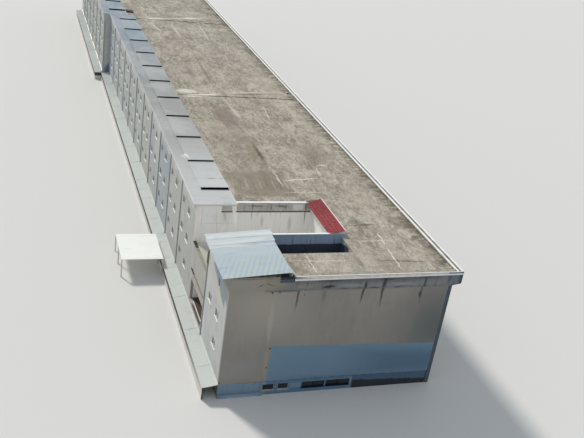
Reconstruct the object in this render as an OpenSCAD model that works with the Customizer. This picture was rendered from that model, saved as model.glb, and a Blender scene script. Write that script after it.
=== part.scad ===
// Long three-storey factory block with a half basement, as a 1:10 model.
// 100 mm here is 1 m of the building. X runs east from the yard side to the
// street side, Y runs from the near end to the far end, Z is up from the
// lowest ground beside the walls.

/* [Plan] */
// Length of one structural bay
bay = 750; // [650:10:900]
// Bays of the main block, stair bay and terrace bay included
main_bays = 13; // [6:1:16]
// Bays of the far wing
wing_bays = 7; // [2:1:8]
// Width over the outer faces of the long walls
main_w = 2125; // [1900:5:2400]
// How far the wing stands out on the yard side
wing_step = 120; // [60:5:250]
// Thickness of the outer walls
wall_t = 30; // [20:1:45]
// Thickness of the light inner walls round the terrace and light well
screen_t = 20; // [12:1:30]
// Width of the joint between main block and wing
joint_gap = 2; // [1:0.5:6]

/* [Levels] */
// Level of the ground floor
ground_z = 205; // [190:5:230]
// Top of the half basement walls
plinth_h = 150; // [120:5:165]
// Thickness of the floor slabs
floor_t = 20; // [15:1:30]
// Storey height, floor to floor
storey_h = 308; // [280:2:340]
// Height of the top storey, floor to roof surface
top_storey_h = 421; // [380:1:470]
// Thickness of the roof slab
roof_t = 25; // [18:1:40]

/* [Roof edge] */
// Height of the edge beam below the roof surface
edge_drop = 115; // [80:5:140]
// Height of the coping kerb above the roof surface
kerb_h = 28; // [15:1:50]
// Width of the coping kerb
kerb_w = 62; // [40:1:80]
// Yard side end of the gap in the near kerb, below the stair block's sheet roof
kerb_gap_x0 = 442; // [400:1:470]
// How far the edge beam stands out over the street wall
street_overhang = 127; // [60:1:160]
// How far the soffit of the street edge rises to its outer side
soffit_rise = 18; // [0:1:40]
// How far the edge beam stands proud of the end walls
end_proud = 5; // [2:1:12]

/* [Windows] */
// Width of a window
window_w = 115; // [80:5:160]
// Height of a window
window_h = 80; // [60:5:105]
// Sill height above the floor
sill_h = 158; // [130:2:175]
// Distance of the first window's centre from the start of its bay
first_window = 315; // [180:5:340]
// Distance of the second window's centre from the end of its bay
second_window = 142; // [110:2:220]
// Thickness of a pane with its frame
pane_t = 6; // [3:1:10]
// How deep the pane is set behind the wall face
pane_set = 10; // [4:1:14]
// Thickness of a marble sill
sill_t = 5; // [3:1:8]
// How far a sill stands out of the wall
sill_out = 8; // [4:1:15]
// How far a sill runs past the window on each side
sill_lap = 8; // [2:1:15]

/* [Half basement] */
// How far the basement walls stand back behind the walls above
plinth_set = 5; // [2:1:8]
// Height of the wall left above the basement windows
low_head = 36; // [20:2:50]
// Height of the basement windows
low_window_h = 66; // [40:2:80]
// Height of the footing ledge at the near corner
ledge_h = 40; // [20:2:44]
// How far the footing ledge stands out
ledge_out = 12; // [6:1:20]

/* [Stair bay and terrace] */
// Street side edge of the stair block's sheet roof
stair_roof_w = 545; // [480:5:560]
// How far that roof passes the yard wall
stair_roof_out = 78; // [20:2:100]
// How far that roof passes the near wall
stair_roof_near = 16; // [8:1:30]
// Rise of the stair block's sheet roof from yard side to street side
stair_roof_rise = 46; // [20:2:70]
// Near edge of the light well
well_y0 = 465; // [420:5:520]
// Yard side edge of the light well, and start of the near kerb's long run
well_x0 = 577; // [560:1:600]
// Street side edge of the light well
well_x1 = 1310; // [1280:5:1320]
// Near face of the wall between light well and terrace
terrace_wall_y = 790; // [770:5:800]
// Street side edge of the terrace
terrace_x1 = 1230; // [1150:5:1240]
// Height of the kerb along the terrace's open edge
terrace_kerb_h = 14; // [8:1:40]
// Width of the wall beside the loading opening, near side
near_pier = 30; // [20:2:80]
// Width of the wall beside the loading opening, far side
far_pier = 80; // [40:5:120]
// Height of the loading opening above the ground floor
loading_h = 237; // [180:1:245]
// Depth of the loading recess behind the yard wall's face
recess_d = 400; // [200:10:500]
// Height of the open slot at the first floor
slot_h = 38; // [16:2:60]
// Height of the slot's foot above the first floor
slot_lift = 8; // [2:1:20]

/* [Sheet roofs] */
// Width of the metal roof strip along the yard side
strip_w = 415; // [400:5:450]
// How far the strip's sheets pass the yard wall
strip_out = 35; // [10:1:40]
// Thickness of the strip's sheets
sheet_t = 5; // [3:1:8]
// Yard side edge of the raised roof lights
light_x0 = 104; // [80:2:110]
// Width of a raised roof light
light_w = 302; // [200:2:304]
// Near end of a roof light, from the start of its bay
light_y0 = 340; // [250:5:420]
// Rise of a roof light at its glazed end
light_rise = 20; // [12:1:40]
// Pitch of the corrugated sheets on the stair block
wave_pitch = 20; // [15:1:30]
// Depth of their corrugation
wave_depth = 4; // [2:0.5:6]
// Width of the red tile strip
tile_w = 140; // [110:2:160]
// Rise of the red tile strip
tile_rise = 24; // [12:2:50]
// How far the tile strip starts before the terrace wall
tile_back = 20; // [8:1:30]
// Width of one roll of tiles
tile_pitch = 22; // [16:1:30]
// Depth of the tiles' roll
tile_depth = 5; // [2:0.5:8]
// Thickness of the tiles
tile_t = 4; // [2:0.5:6]

/* [Yard side] */
// Height of the lean-to roof at the yard wall
leanto_h = 156; // [140:2:170]
// Width of the low lean-to roof along the yard wall
leanto_w = 144; // [110:2:200]
// Fall of the lean-to roof
leanto_fall = 23; // [10:1:30]
// Thickness of the lean-to roof
leanto_t = 6; // [4:1:12]
// Thickness of the low wall below the lean-to's outer edge
area_wall_t = 14; // [10:1:24]
// Side of a shelter post
post_s = 12; // [8:1:18]
// Width of the open shelter beside the lean-to
shelter_w = 470; // [300:10:500]
// Length of the open shelter
shelter_l = 615; // [400:5:700]
// Distance of the shelter from the near end
shelter_y = 2235; // [1800:5:2600]
// Height of the shelter roof
shelter_h = 225; // [200:1:260]
// Thickness of the shelter roof
shelter_t = 8; // [5:1:15]

/* [Details] */
// Diameter of the rainwater pipes
pipe_d = 12; // [8:1:16]
// Side of the street side piers
pier_s = 40; // [25:1:60]
// Height of the movement joint kerbs on the roof
joint_kerb_h = 8; // [4:1:16]
// Width of the movement joint kerbs
joint_kerb_w = 24; // [14:1:40]
// Distance of the first joint kerb from the near end
joint_kerb_y = 5100; // [4500:10:6000]
// Distance of the second joint kerb before the wing
joint_kerb_back = 112; // [40:2:300]
// Width of the roof hatch beside the wing's sheets
hatch_w = 140; // [60:5:160]
// Length of the roof hatch
hatch_l = 150; // [80:5:200]
// Height of the roof hatch
hatch_h = 22; // [10:1:40]
// Distance of the roof hatch from the start of the wing
hatch_y = 330; // [100:5:500]
// Gap between the roof hatch and the wing's sheets
hatch_gap = 5; // [2:1:30]

/* [Hidden] */

main_l = main_bays * bay;
wing_l = wing_bays * bay;
total_l = main_l + wing_l;

first_z = ground_z + storey_h;
second_z = first_z + storey_h;
roof_z = second_z + top_storey_h;
beam_z = roof_z - edge_drop;
coping_z = roof_z + kerb_h;
terrace_far_y = 2 * bay;
shelter_x = -leanto_w - shelter_w;
west_reach = min(shelter_x, -wing_step - leanto_w);
east_reach = main_w + street_overhang;
mid_x = (west_reach + east_reach) / 2;
mid_y = total_l / 2;
kerb_in = kerb_w - end_proud;
low_window_z = plinth_h - low_head - low_window_h;
leanto_edge_z = leanto_h - leanto_fall - leanto_t;
eps = 1;

wall_colour = "lightgray";
concrete = "darkgray";
sheet_colour = "lightsteelblue";

// Moves a piece from the near yard corner to the middle of the plan
module placed() {
    translate([-mid_x, -mid_y, 0]) children();
}

// A box from its low corner to its high corner
module block(low, high) {
    translate(low) cube(high - low);
}

// A level plate over the wing, fitted round the wall of its free end
module wing_plate(z0, z1) {
    wing_y = main_l + joint_gap / 2;
    translate([0, 0, z0]) linear_extrude(z1 - z0)
        polygon([[wall_t, wing_y], [main_w - wall_t, wing_y],
                 [main_w - wall_t, total_l - wall_t],
                 [wall_t - wing_step, total_l - wall_t],
                 [wall_t - wing_step, wing_y + wall_t], [wall_t, wing_y + wall_t]]);
}

// One floor level, main block and wing, parted by the joint
module floor_plates(z1) {
    block([wall_t, wall_t, z1 - floor_t], [main_w - wall_t, main_l - joint_gap / 2, z1]);
    wing_plate(z1 - floor_t, z1);
}

// Windows of bays first to last, as centre along the wall, floor level and whether
// it is the first of its bay
function window_places(first, last) =
    [for (k = [first : last - 1], z = [ground_z, first_z, second_z])
        each [[k * bay + first_window, z, true], [(k + 1) * bay - second_window, z, false]]];

// Windows of the stair bay: the second column has the middle one only
function stair_windows() = [for (p = window_places(0, 1)) if (p[2] || p[1] == first_z) p];

// Windows that have a sill: the first column, and the middle one of the second
function with_sill(places) = [for (p = places) if (p[2] || p[1] == first_z) p];

// Cutters for the windows at these places, through a wall that starts at x
module window_cuts(x, places) {
    for (p = places)
        translate([x - eps, p[0] - window_w / 2, p[1] + sill_h])
            cube([wall_t + 2 * eps, window_w, window_h]);
}

// Panes at these places, outer face at x
module panes(x, places) {
    for (p = places)
        translate([x, p[0] - window_w / 2, p[1] + sill_h])
            cube([pane_t, window_w, window_h]);
}

// Places of the basement windows along the near wall, start and width
near_low_windows = [[427, 121], [579, 110], [818, 229], [1060, 245]];

module basement_floor() {
    color(concrete) placed() floor_plates(floor_t);
}

module near_plinth() {
    color(wall_colour) placed() difference() {
        union() {
            block([plinth_set, plinth_set, 0], [main_w - plinth_set, wall_t, plinth_h]);
            block([plinth_set, -ledge_out, 0], [near_low_windows[0][0], plinth_set + eps, ledge_h]);
        }
        for (w = near_low_windows)
            translate([w[0], -eps, low_window_z]) cube([w[1], wall_t + 2 * eps, low_window_h]);
    }
}

// Half basement walls on the yard, street and far sides, set back below the walls above
module basement_walls() {
    far_y = total_l - plinth_set;
    wing_y = main_l + joint_gap / 2;
    color(wall_colour) placed() {
        block([plinth_set, wall_t, 0], [wall_t, main_l - joint_gap / 2, plinth_h]);
        union() {
            block([plinth_set - wing_step, wing_y, 0], [wall_t - wing_step, far_y, plinth_h]);
            block([plinth_set - wing_step, far_y - wall_t + plinth_set, 0],
                  [main_w - plinth_set, far_y, plinth_h]);
            block([main_w - wall_t, wall_t, 0], [main_w - plinth_set, far_y, plinth_h]);
        }
    }
}

module ground_floor() {
    color(concrete) placed() floor_plates(ground_z);
}

module first_floor() {
    color(concrete) placed() floor_plates(first_z);
}

module second_floor() {
    color(concrete) placed() floor_plates(second_z);
}

module near_wall() {
    color(wall_colour) placed() block([0, 0, plinth_h], [main_w, wall_t, beam_z]);
}

module stair_yard_wall() {
    color(wall_colour) placed() difference() {
        block([0, wall_t, plinth_h], [wall_t, terrace_wall_y + screen_t, beam_z]);
        window_cuts(0, stair_windows());
    }
}

module loading_bay_wall() {
    near_y = terrace_wall_y + screen_t;
    color(wall_colour) placed() difference() {
        block([0, near_y, plinth_h], [wall_t, terrace_far_y, second_z + terrace_kerb_h]);
        block([-eps, near_y + near_pier, ground_z],
              [wall_t + eps, terrace_far_y - far_pier, ground_z + loading_h]);
        block([-eps, near_y + near_pier, first_z + slot_lift],
              [wall_t + eps, terrace_far_y - near_pier, first_z + slot_lift + slot_h]);
    }
}

// Walls on three sides of the loading recess, from the ground floor to the first floor
module loading_recess_walls() {
    near_y = terrace_wall_y;
    far_y = terrace_far_y - far_pier;
    color(wall_colour) placed() translate([0, 0, ground_z])
        linear_extrude(storey_h - floor_t)
            polygon([[wall_t, near_y], [recess_d + screen_t, near_y],
                     [recess_d + screen_t, far_y + screen_t], [wall_t, far_y + screen_t],
                     [wall_t, far_y], [recess_d, far_y], [recess_d, near_y + screen_t],
                     [wall_t, near_y + screen_t]]);
}

module main_yard_wall() {
    color(wall_colour) placed() difference() {
        block([0, terrace_far_y, plinth_h], [wall_t, main_l - joint_gap / 2, beam_z]);
        window_cuts(0, window_places(2, main_bays));
    }
}

module wing_yard_wall() {
    color(wall_colour) placed() difference() {
        block([-wing_step, main_l + joint_gap / 2, plinth_h],
              [wall_t - wing_step, total_l - wall_t, beam_z]);
        window_cuts(-wing_step, window_places(main_bays, main_bays + wing_bays));
    }
}

module wing_end_wall() {
    color(wall_colour) placed()
        block([wall_t - wing_step, main_l + joint_gap / 2, 0],
              [wall_t, main_l + joint_gap / 2 + wall_t, coping_z - sheet_t]);
}

module street_wall() {
    color(wall_colour) placed() difference() {
        block([main_w - wall_t, wall_t, plinth_h], [main_w, total_l - wall_t, beam_z]);
        window_cuts(main_w - wall_t, window_places(0, main_bays + wing_bays));
    }
}

module far_wall() {
    color(wall_colour) placed()
        block([-wing_step, total_l - wall_t, plinth_h], [main_w, total_l, beam_z]);
}

module terrace_far_wall() {
    color(wall_colour) placed() translate([0, terrace_far_y + wall_t, 0]) rotate([90, 0, 0])
        linear_extrude(wall_t)
            polygon([[wall_t, second_z], [terrace_x1, second_z], [terrace_x1, coping_z],
                     [strip_w, coping_z], [strip_w, coping_z - sheet_t],
                     [wall_t, coping_z - sheet_t]]);
}

module terrace_east_wall() {
    color(wall_colour) placed()
        block([terrace_x1, terrace_wall_y + screen_t, second_z],
              [terrace_x1 + screen_t, terrace_far_y + wall_t, coping_z]);
}

module terrace_near_wall() {
    color(wall_colour) placed()
        block([wall_t, terrace_wall_y, second_z],
              [well_x1 + wall_t, terrace_wall_y + screen_t, coping_z]);
}

module light_well_walls() {
    color(wall_colour) placed() {
        block([well_x0 - screen_t, well_y0 - screen_t, second_z],
              [well_x1 + screen_t, well_y0, roof_z - roof_t]);
        block([well_x0 - screen_t, well_y0 + joint_gap, second_z],
              [well_x0, terrace_wall_y - joint_gap, roof_z - roof_t]);
        block([well_x1, well_y0 + joint_gap, second_z],
              [well_x1 + screen_t, terrace_wall_y - joint_gap, roof_z - roof_t]);
    }
}

module near_roof_slab() {
    color(concrete) placed() translate([0, 0, roof_z - roof_t]) linear_extrude(roof_t)
        polygon([[wall_t, wall_t], [main_w - wall_t, wall_t],
                 [main_w - wall_t, terrace_far_y + wall_t],
                 [terrace_x1 + screen_t, terrace_far_y + wall_t],
                 [terrace_x1 + screen_t, terrace_wall_y + screen_t],
                 [well_x1 + wall_t, terrace_wall_y + screen_t],
                 [well_x1 + wall_t, terrace_wall_y], [well_x1, terrace_wall_y],
                 [well_x1, well_y0], [well_x0, well_y0], [well_x0, terrace_wall_y],
                 [wall_t, terrace_wall_y]]);
}

module main_roof_slab() {
    color(concrete) placed()
        block([wall_t, terrace_far_y + wall_t, roof_z - roof_t],
              [main_w - wall_t, main_l - joint_gap / 2, roof_z]);
}

module wing_roof_slab() {
    color(concrete) placed() wing_plate(roof_z - roof_t, roof_z);
}

// Edge beam with a coping kerb on its outer side, from x0 to the street edge beam
module end_beam(x0) {
    translate([x0, 0, 0]) rotate([90, 0, 90]) linear_extrude(main_w - wall_t - x0)
        polygon([[-end_proud, beam_z], [wall_t, beam_z], [wall_t, roof_z],
                 [kerb_in, roof_z], [kerb_in, coping_z], [-end_proud, coping_z]]);
}

module end_edge_beams() {
    color(concrete) placed() {
        difference() {
            end_beam(0);
            block([kerb_gap_x0, -end_proud - eps, roof_z], [well_x0, kerb_w, coping_z + eps]);
        }
        translate([0, total_l, 0]) mirror([0, 1, 0]) end_beam(-wing_step);
    }
}

// Overhanging beam along the street side; its kerb returns along both ends
module street_edge_beam() {
    inner = main_w - wall_t;
    reach = wall_t + street_overhang;
    color(concrete) placed() union() {
        translate([inner, total_l + end_proud, 0]) rotate([90, 0, 0])
            linear_extrude(total_l + 2 * end_proud)
                polygon([[0, beam_z], [wall_t + pier_s, beam_z], [reach, beam_z + soffit_rise],
                         [reach, coping_z], [reach - kerb_w, coping_z],
                         [reach - kerb_w, roof_z], [0, roof_z]]);
        for (y = [-end_proud, total_l + end_proud - kerb_w])
            block([inner, y, roof_z - eps], [inner + reach, y + kerb_w, coping_z]);
    }
}

// Edge beam on top of a yard wall whose face is at x, between the end kerbs
module yard_beam(x, low, high, kerb_low, kerb_high, top) {
    translate([x, 0, 0]) union() {
        block([0, low, beam_z], [wall_t, high, roof_z]);
        block([0, kerb_low, roof_z - eps], [wall_t, kerb_high, top]);
    }
}

module yard_edge_beam() {
    joint_y = main_l - joint_gap / 2;
    sheet_z = coping_z - sheet_t;
    color(concrete) placed() {
        yard_beam(0, wall_t, terrace_wall_y, kerb_in, terrace_wall_y, coping_z);
        yard_beam(0, terrace_far_y, joint_y, terrace_far_y, joint_y, sheet_z);
        yard_beam(-wing_step, joint_y + joint_gap, total_l - wall_t, joint_y + joint_gap,
                  total_l - kerb_in, sheet_z);
    }
}

module street_piers() {
    color(concrete) placed() for (k = [0 : main_bays + wing_bays])
        translate([main_w, min(max(k * bay - pier_s / 2, 0), total_l - pier_s), 0])
            cube([pier_s, pier_s, beam_z]);
}

module main_yard_windows() {
    color("dimgray") placed() {
        panes(pane_set, stair_windows());
        panes(pane_set, window_places(2, main_bays));
    }
}

module wing_yard_windows() {
    color("dimgray") placed()
        panes(pane_set - wing_step, window_places(main_bays, main_bays + wing_bays));
}

module street_windows() {
    color("dimgray") placed()
        panes(main_w - pane_set - pane_t, window_places(0, main_bays + wing_bays));
}

module basement_windows() {
    color("dimgray") placed() for (w = near_low_windows)
        translate([w[0], plinth_set + pane_set, low_window_z]) cube([w[1], pane_t, low_window_h]);
}

// Marble sills of the windows at these places, from x outwards
module sills(x, places) {
    for (p = with_sill(places))
        translate([x, p[0] - window_w / 2 - sill_lap, p[1] + sill_h - sill_t])
            cube([sill_out, window_w + 2 * sill_lap, sill_t]);
}

module window_sills() {
    color("whitesmoke") placed() {
        sills(-sill_out, [for (p = stair_windows()) if (p[1] < second_z) p]);
        sills(-sill_out, window_places(2, main_bays));
        sills(-sill_out - wing_step, window_places(main_bays, main_bays + wing_bays));
        sills(main_w, window_places(0, main_bays + wing_bays));
    }
}

module rainwater_pipes() {
    color("gray") placed() {
        for (k = [3 : main_bays + wing_bays - 1])
            translate([k < main_bays ? -pipe_d / 2 : -wing_step - pipe_d / 2,
                       k * bay + (k == main_bays ? pipe_d : 0), leanto_h])
                cylinder(h = coping_z - sheet_t - leanto_h, d = pipe_d, $fn = 24);
        translate([-pipe_d / 2, terrace_wall_y + screen_t, leanto_h])
            cylinder(h = beam_z - leanto_h, d = pipe_d, $fn = 24);
    }
}

module yard_roof_sheets() {
    color(sheet_colour) placed() {
        block([-strip_out, terrace_far_y - strip_out, coping_z - sheet_t],
              [strip_w, main_l - joint_gap / 2, coping_z]);
        block([-wing_step - strip_out, main_l + joint_gap / 2, coping_z - sheet_t],
              [strip_w - wing_step, total_l - kerb_in, coping_z]);
    }
}

// One roof light of this length: a shallow hollow wedge of sheet, open at its near end
module roof_light(run) {
    rotate([90, 0, 90]) linear_extrude(light_w)
        polygon([[0, light_rise - sheet_t], [run, 0], [run, sheet_t], [0, light_rise]]);
    for (cheek = [0, light_w - sheet_t])
        translate([cheek, 0, 0]) rotate([90, 0, 90]) linear_extrude(sheet_t)
            polygon([[0, 0], [run, 0], [run, sheet_t], [0, light_rise]]);
}

// Roof lights as start across, start along and length; the last one of each block
// ends with the block
function light_row(x, first, last) =
    [for (k = [first : last - 1]) [x, k * bay + light_y0,
                                   (k < last - 1 ? bay : bay - light_y0) - joint_gap]];
function light_places() = concat(light_row(light_x0, 2, main_bays),
                                 light_row(light_x0 - wing_step, main_bays,
                                           main_bays + wing_bays - 1));

module roof_lights() {
    color(sheet_colour) placed() for (p = light_places())
        translate([p[0], p[1], coping_z]) roof_light(p[2]);
}

module roof_light_glazing() {
    color("darkslategray") placed() for (p = light_places())
        translate([p[0] + sheet_t, p[1] + sheet_t, coping_z])
            cube([light_w - 2 * sheet_t, sheet_t / 2, light_rise - sheet_t - eps]);
}

// Wavy band of sheets, laid along X, built from one closed outline along Y
module wavy_sheet(length, run, thick, pitch, depth) {
    n = round(length / pitch);
    step = length / n / 4;
    level = [0, 1, 0, -1];
    rotate([90, 0, 90]) linear_extrude(run) polygon(concat(
        [for (i = [0 : 4 * n]) [i * step, level[i % 4] * depth / 2 + thick]],
        [for (i = [4 * n : -1 : 0]) [i * step, level[i % 4] * depth / 2]]));
}

stair_sheet_l = stair_roof_near + terrace_wall_y + screen_t;
stair_sheet_w = stair_roof_w + stair_roof_out;
stair_slope = atan(stair_roof_rise / stair_sheet_w);

module stair_roof_sheets() {
    color(sheet_colour) placed()
        translate([-stair_roof_out, -stair_roof_near, coping_z + sheet_t])
            rotate([0, -stair_slope, 0])
                wavy_sheet(stair_sheet_l, stair_sheet_w / cos(stair_slope), sheet_t / 2,
                           wave_pitch, wave_depth);
}

module stair_roof_purlins() {
    purlin_w = 10;
    color("saddlebrown") placed() for (i = [0 : 3]) {
        x = i * (kerb_gap_x0 - purlin_w) / 3;
        top = coping_z + sheet_t + (x + stair_roof_out) * tan(stair_slope) - wave_depth / 2;
        block([x, 0, coping_z], [x + purlin_w, terrace_wall_y + screen_t, top]);
    }
}

tile_slope = atan(tile_rise / tile_w);
tile_l = terrace_far_y + wall_t - terrace_wall_y;
tile_z = coping_z + (tile_depth + eps) / 2;

module tile_strip() {
    color("firebrick") placed()
        translate([terrace_x1 - tile_back, terrace_wall_y, tile_z]) rotate([0, -tile_slope, 0])
            wavy_sheet(tile_l, tile_w / cos(tile_slope), tile_t, tile_pitch, tile_depth);
}

module tile_strip_bearer() {
    outer = tile_w - tile_back - tile_t;
    color(wall_colour) placed() translate([terrace_x1, terrace_far_y + wall_t, 0])
        rotate([90, 0, 0]) linear_extrude(tile_l - screen_t)
            polygon([[screen_t, roof_z], [outer, roof_z],
                     [outer, coping_z + (tile_back + outer) * tan(tile_slope)],
                     [screen_t, coping_z + (tile_back + screen_t) * tan(tile_slope)]]);
}

// Lean-to roof of length run along Y, wall side at x = 0
module leanto(run) {
    rotate([90, 0, 0]) linear_extrude(run)
        polygon([[0, leanto_h - leanto_t], [0, leanto_h], [-leanto_w, leanto_h - leanto_fall],
                 [-leanto_w, leanto_h - leanto_fall - leanto_t]]);
}

module lean_to_roof() {
    color("gainsboro") placed() {
        translate([0, main_l - joint_gap, 0]) leanto(main_l - joint_gap);
        translate([-wing_step, total_l, 0]) leanto(wing_l - joint_gap);
    }
}

// Profile of the low wall below the lean-to's outer edge, extruded over run
module low_wall(run) {
    inner_z = leanto_edge_z + leanto_fall * area_wall_t / leanto_w;
    rotate([90, 0, 0]) linear_extrude(run)
        polygon([[-leanto_w, 0], [area_wall_t - leanto_w, 0], [area_wall_t - leanto_w, inner_z],
                 [-leanto_w, leanto_edge_z]]);
}

module lean_to_wall() {
    return_rise = leanto_fall * wing_step / leanto_w;
    color("gainsboro") placed() {
        translate([0, main_l - joint_gap, 0]) low_wall(main_l - joint_gap);
        union() {
            translate([-wing_step, total_l, 0]) low_wall(wing_l - joint_gap);
            translate([-wing_step, main_l + joint_gap + area_wall_t, 0]) rotate([90, 0, 0])
                linear_extrude(area_wall_t)
                    polygon([[-leanto_w, 0], [wing_step - leanto_w, 0],
                             [wing_step - leanto_w, leanto_edge_z + return_rise],
                             [-leanto_w, leanto_edge_z]]);
        }
    }
}

module shelter_posts() {
    color("whitesmoke") placed()
        for (x = [shelter_x, -leanto_w - post_s], y = [0, 0.5, 1])
            translate([x, shelter_y + y * (shelter_l - post_s), 0])
                cube([post_s, post_s, shelter_h - shelter_t]);
}

module shelter_roof() {
    color("white") placed()
        block([shelter_x, shelter_y, shelter_h - shelter_t],
              [-leanto_w, shelter_y + shelter_l, shelter_h]);
}

module roof_joint_kerbs() {
    color(concrete) placed() for (y = [joint_kerb_y, main_l - joint_kerb_back])
        translate([strip_w, y, roof_z])
            cube([main_w + street_overhang - kerb_w - strip_w, joint_kerb_w, joint_kerb_h]);
}

module roof_hatch() {
    color("black") placed()
        translate([strip_w - wing_step + hatch_gap, main_l + hatch_y, roof_z])
            cube([hatch_w, hatch_l, hatch_h]);
}

basement_floor();
near_plinth();
basement_walls();
ground_floor();
first_floor();
second_floor();
near_wall();
stair_yard_wall();
loading_bay_wall();
loading_recess_walls();
main_yard_wall();
wing_yard_wall();
wing_end_wall();
street_wall();
far_wall();
terrace_far_wall();
terrace_east_wall();
terrace_near_wall();
light_well_walls();
near_roof_slab();
main_roof_slab();
wing_roof_slab();
end_edge_beams();
street_edge_beam();
yard_edge_beam();
street_piers();
main_yard_windows();
wing_yard_windows();
street_windows();
basement_windows();
window_sills();
rainwater_pipes();
yard_roof_sheets();
roof_lights();
roof_light_glazing();
stair_roof_sheets();
stair_roof_purlins();
tile_strip();
tile_strip_bearer();
lean_to_roof();
lean_to_wall();
shelter_posts();
shelter_roof();
roof_joint_kerbs();
roof_hatch();
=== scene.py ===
import math
import bpy
import numpy as np
from mathutils import Matrix, Vector


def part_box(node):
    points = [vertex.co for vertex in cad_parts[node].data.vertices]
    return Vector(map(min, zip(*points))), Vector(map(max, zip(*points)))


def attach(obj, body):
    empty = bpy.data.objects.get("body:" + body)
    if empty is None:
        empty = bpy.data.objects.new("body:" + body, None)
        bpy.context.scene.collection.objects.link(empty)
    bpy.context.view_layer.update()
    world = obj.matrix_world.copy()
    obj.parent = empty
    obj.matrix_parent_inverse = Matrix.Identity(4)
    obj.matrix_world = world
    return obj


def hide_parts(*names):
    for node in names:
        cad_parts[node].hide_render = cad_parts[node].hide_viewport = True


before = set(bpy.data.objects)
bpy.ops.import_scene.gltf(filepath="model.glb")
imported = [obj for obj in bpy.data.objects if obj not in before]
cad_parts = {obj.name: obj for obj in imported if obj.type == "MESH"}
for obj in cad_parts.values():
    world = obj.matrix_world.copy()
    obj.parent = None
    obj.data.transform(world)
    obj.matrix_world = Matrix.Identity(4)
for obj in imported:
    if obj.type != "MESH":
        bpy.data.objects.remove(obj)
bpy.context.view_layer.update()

print("frame loaded, pieces of the building:", len(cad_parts))

# Lengths are millimetres of the 1:10 model, so 10 here is 0.1 m of the real building.
# X runs from the yard wall, Y from the near wall, Z from the ground.
building = {
    "bay": 750, "mainBays": 13, "wingBays": 7, "width": 2125, "wingStep": 120, "joint": 2,
    "floors": (205, 513, 821), "roofTop": 1242, "coping": 1270, "overhang": 127, "kerb": 62,
    "proud": 5,
}
bay, joint = building["bay"], building["joint"]
mainLength = building["mainBays"] * bay
totalLength = mainLength + building["wingBays"] * bay
wingX = -building["wingStep"]
streetEdge = building["width"] + building["overhang"]
wallCorner = np.array([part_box("near_wall")[0].x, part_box("near_wall")[0].y, 0.0])


def toScene(points):  # building millimetres to the frame's metres
    return np.asarray(points, float) * 0.001 + wallCorner


def hexLinear(code):  # sRGB hex to linear colour
    value = np.array([int(code[i:i + 2], 16) / 255 for i in (1, 3, 5)])
    value = np.where(value <= 0.04045, value / 12.92, ((value + 0.055) / 1.055) ** 2.4)
    return (*value.tolist(), 1.0)


# Surfaces: colours are mixed from socket to socket, and patterns read Object coordinates.
# Settings and links are keyed by a socket's name or number, or name a property of the node
def addNode(tree, kind, settings=None, links=None):
    node = tree.nodes.new("ShaderNode" + kind)
    for key, value in (settings or {}).items():
        if isinstance(key, int) or key in node.inputs:
            node.inputs[key].default_value = value
        else:
            setattr(node, key, value)
    for key, source in (links or {}).items():
        tree.links.new(source, node.inputs[key])
    return node


# A material with its shader, and the place on the piece that every pattern starts from
def startSurface(name, **constants):
    surface = bpy.data.materials.new(name)
    surface.use_nodes = True
    tree = surface.node_tree
    shader = tree.nodes["Principled BSDF"]
    for socket, value in constants.items():
        shader.inputs[socket].default_value = value
    spot = addNode(tree, "TexCoord").outputs["Object"]
    return surface, tree, shader, spot


# Patches about size mm across, pulled out by stretch on each axis; low and high set the contrast
def cloud(tree, spot, size, stretch=(1, 1, 1), low=0.42, high=0.62, detail=4.0, shift=0.0):
    place = addNode(tree, "Mapping",
                    {"Scale": tuple(1 / s for s in stretch), "Location": (shift, shift, shift)},
                    {"Vector": spot})
    noise = addNode(tree, "TexNoise",
                    {"Scale": 1000 / size, "Detail": detail, "Roughness": 0.6},
                    {"Vector": place.outputs[0]})
    return addNode(tree, "MapRange",
                   {"From Min": low, "From Max": high, "interpolation_type": "SMOOTHSTEP"},
                   {"Value": noise.outputs[0]}).outputs[0]


# Lays colour over what is there, as strongly as the mask and the strength say
def layOver(tree, under, colour, mask, strength=1.0):
    share = addNode(tree, "Math", {"operation": "MULTIPLY", 1: strength}, {0: mask})
    settings, links = {"data_type": "RGBA"}, {0: share.outputs[0]}
    for place, value in ((6, under), (7, colour)):
        if isinstance(value, str):
            settings[place] = hexLinear(value)
        else:
            links[place] = value
    return addNode(tree, "Mix", settings, links).outputs[2]


# Nought at start and one at end along one axis, in building millimetres, level beyond them
def ramp(tree, spot, axis, start, end):
    parts = addNode(tree, "SeparateXYZ", links={0: spot})
    low, high = (v * 0.001 + wallCorner[axis] for v in (start, end))
    return addNode(tree, "MapRange",
                   {"From Min": low, "From Max": high, "interpolation_type": "SMOOTHSTEP"},
                   {0: parts.outputs[axis]}).outputs[0]


# The same place pushed about by up to reach mm, so that drawn marks get uneven edges. The noise
# keeps within a quarter of its middle, so it is centred and stretched fourfold
def waver(tree, spot, size, reach):
    noise = addNode(tree, "TexNoise", {"Scale": 1000 / size, "Detail": 4.0},
                    {"Vector": spot})
    push = addNode(tree, "VectorMath",
                   {"operation": "MULTIPLY_ADD", 1: (reach * 0.004,) * 3,
                    2: (-reach * 0.002,) * 3}, {0: noise.outputs[1]})
    return addNode(tree, "VectorMath", {"operation": "ADD"},
                   {0: spot, 1: push.outputs[0]}).outputs[0]


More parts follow.
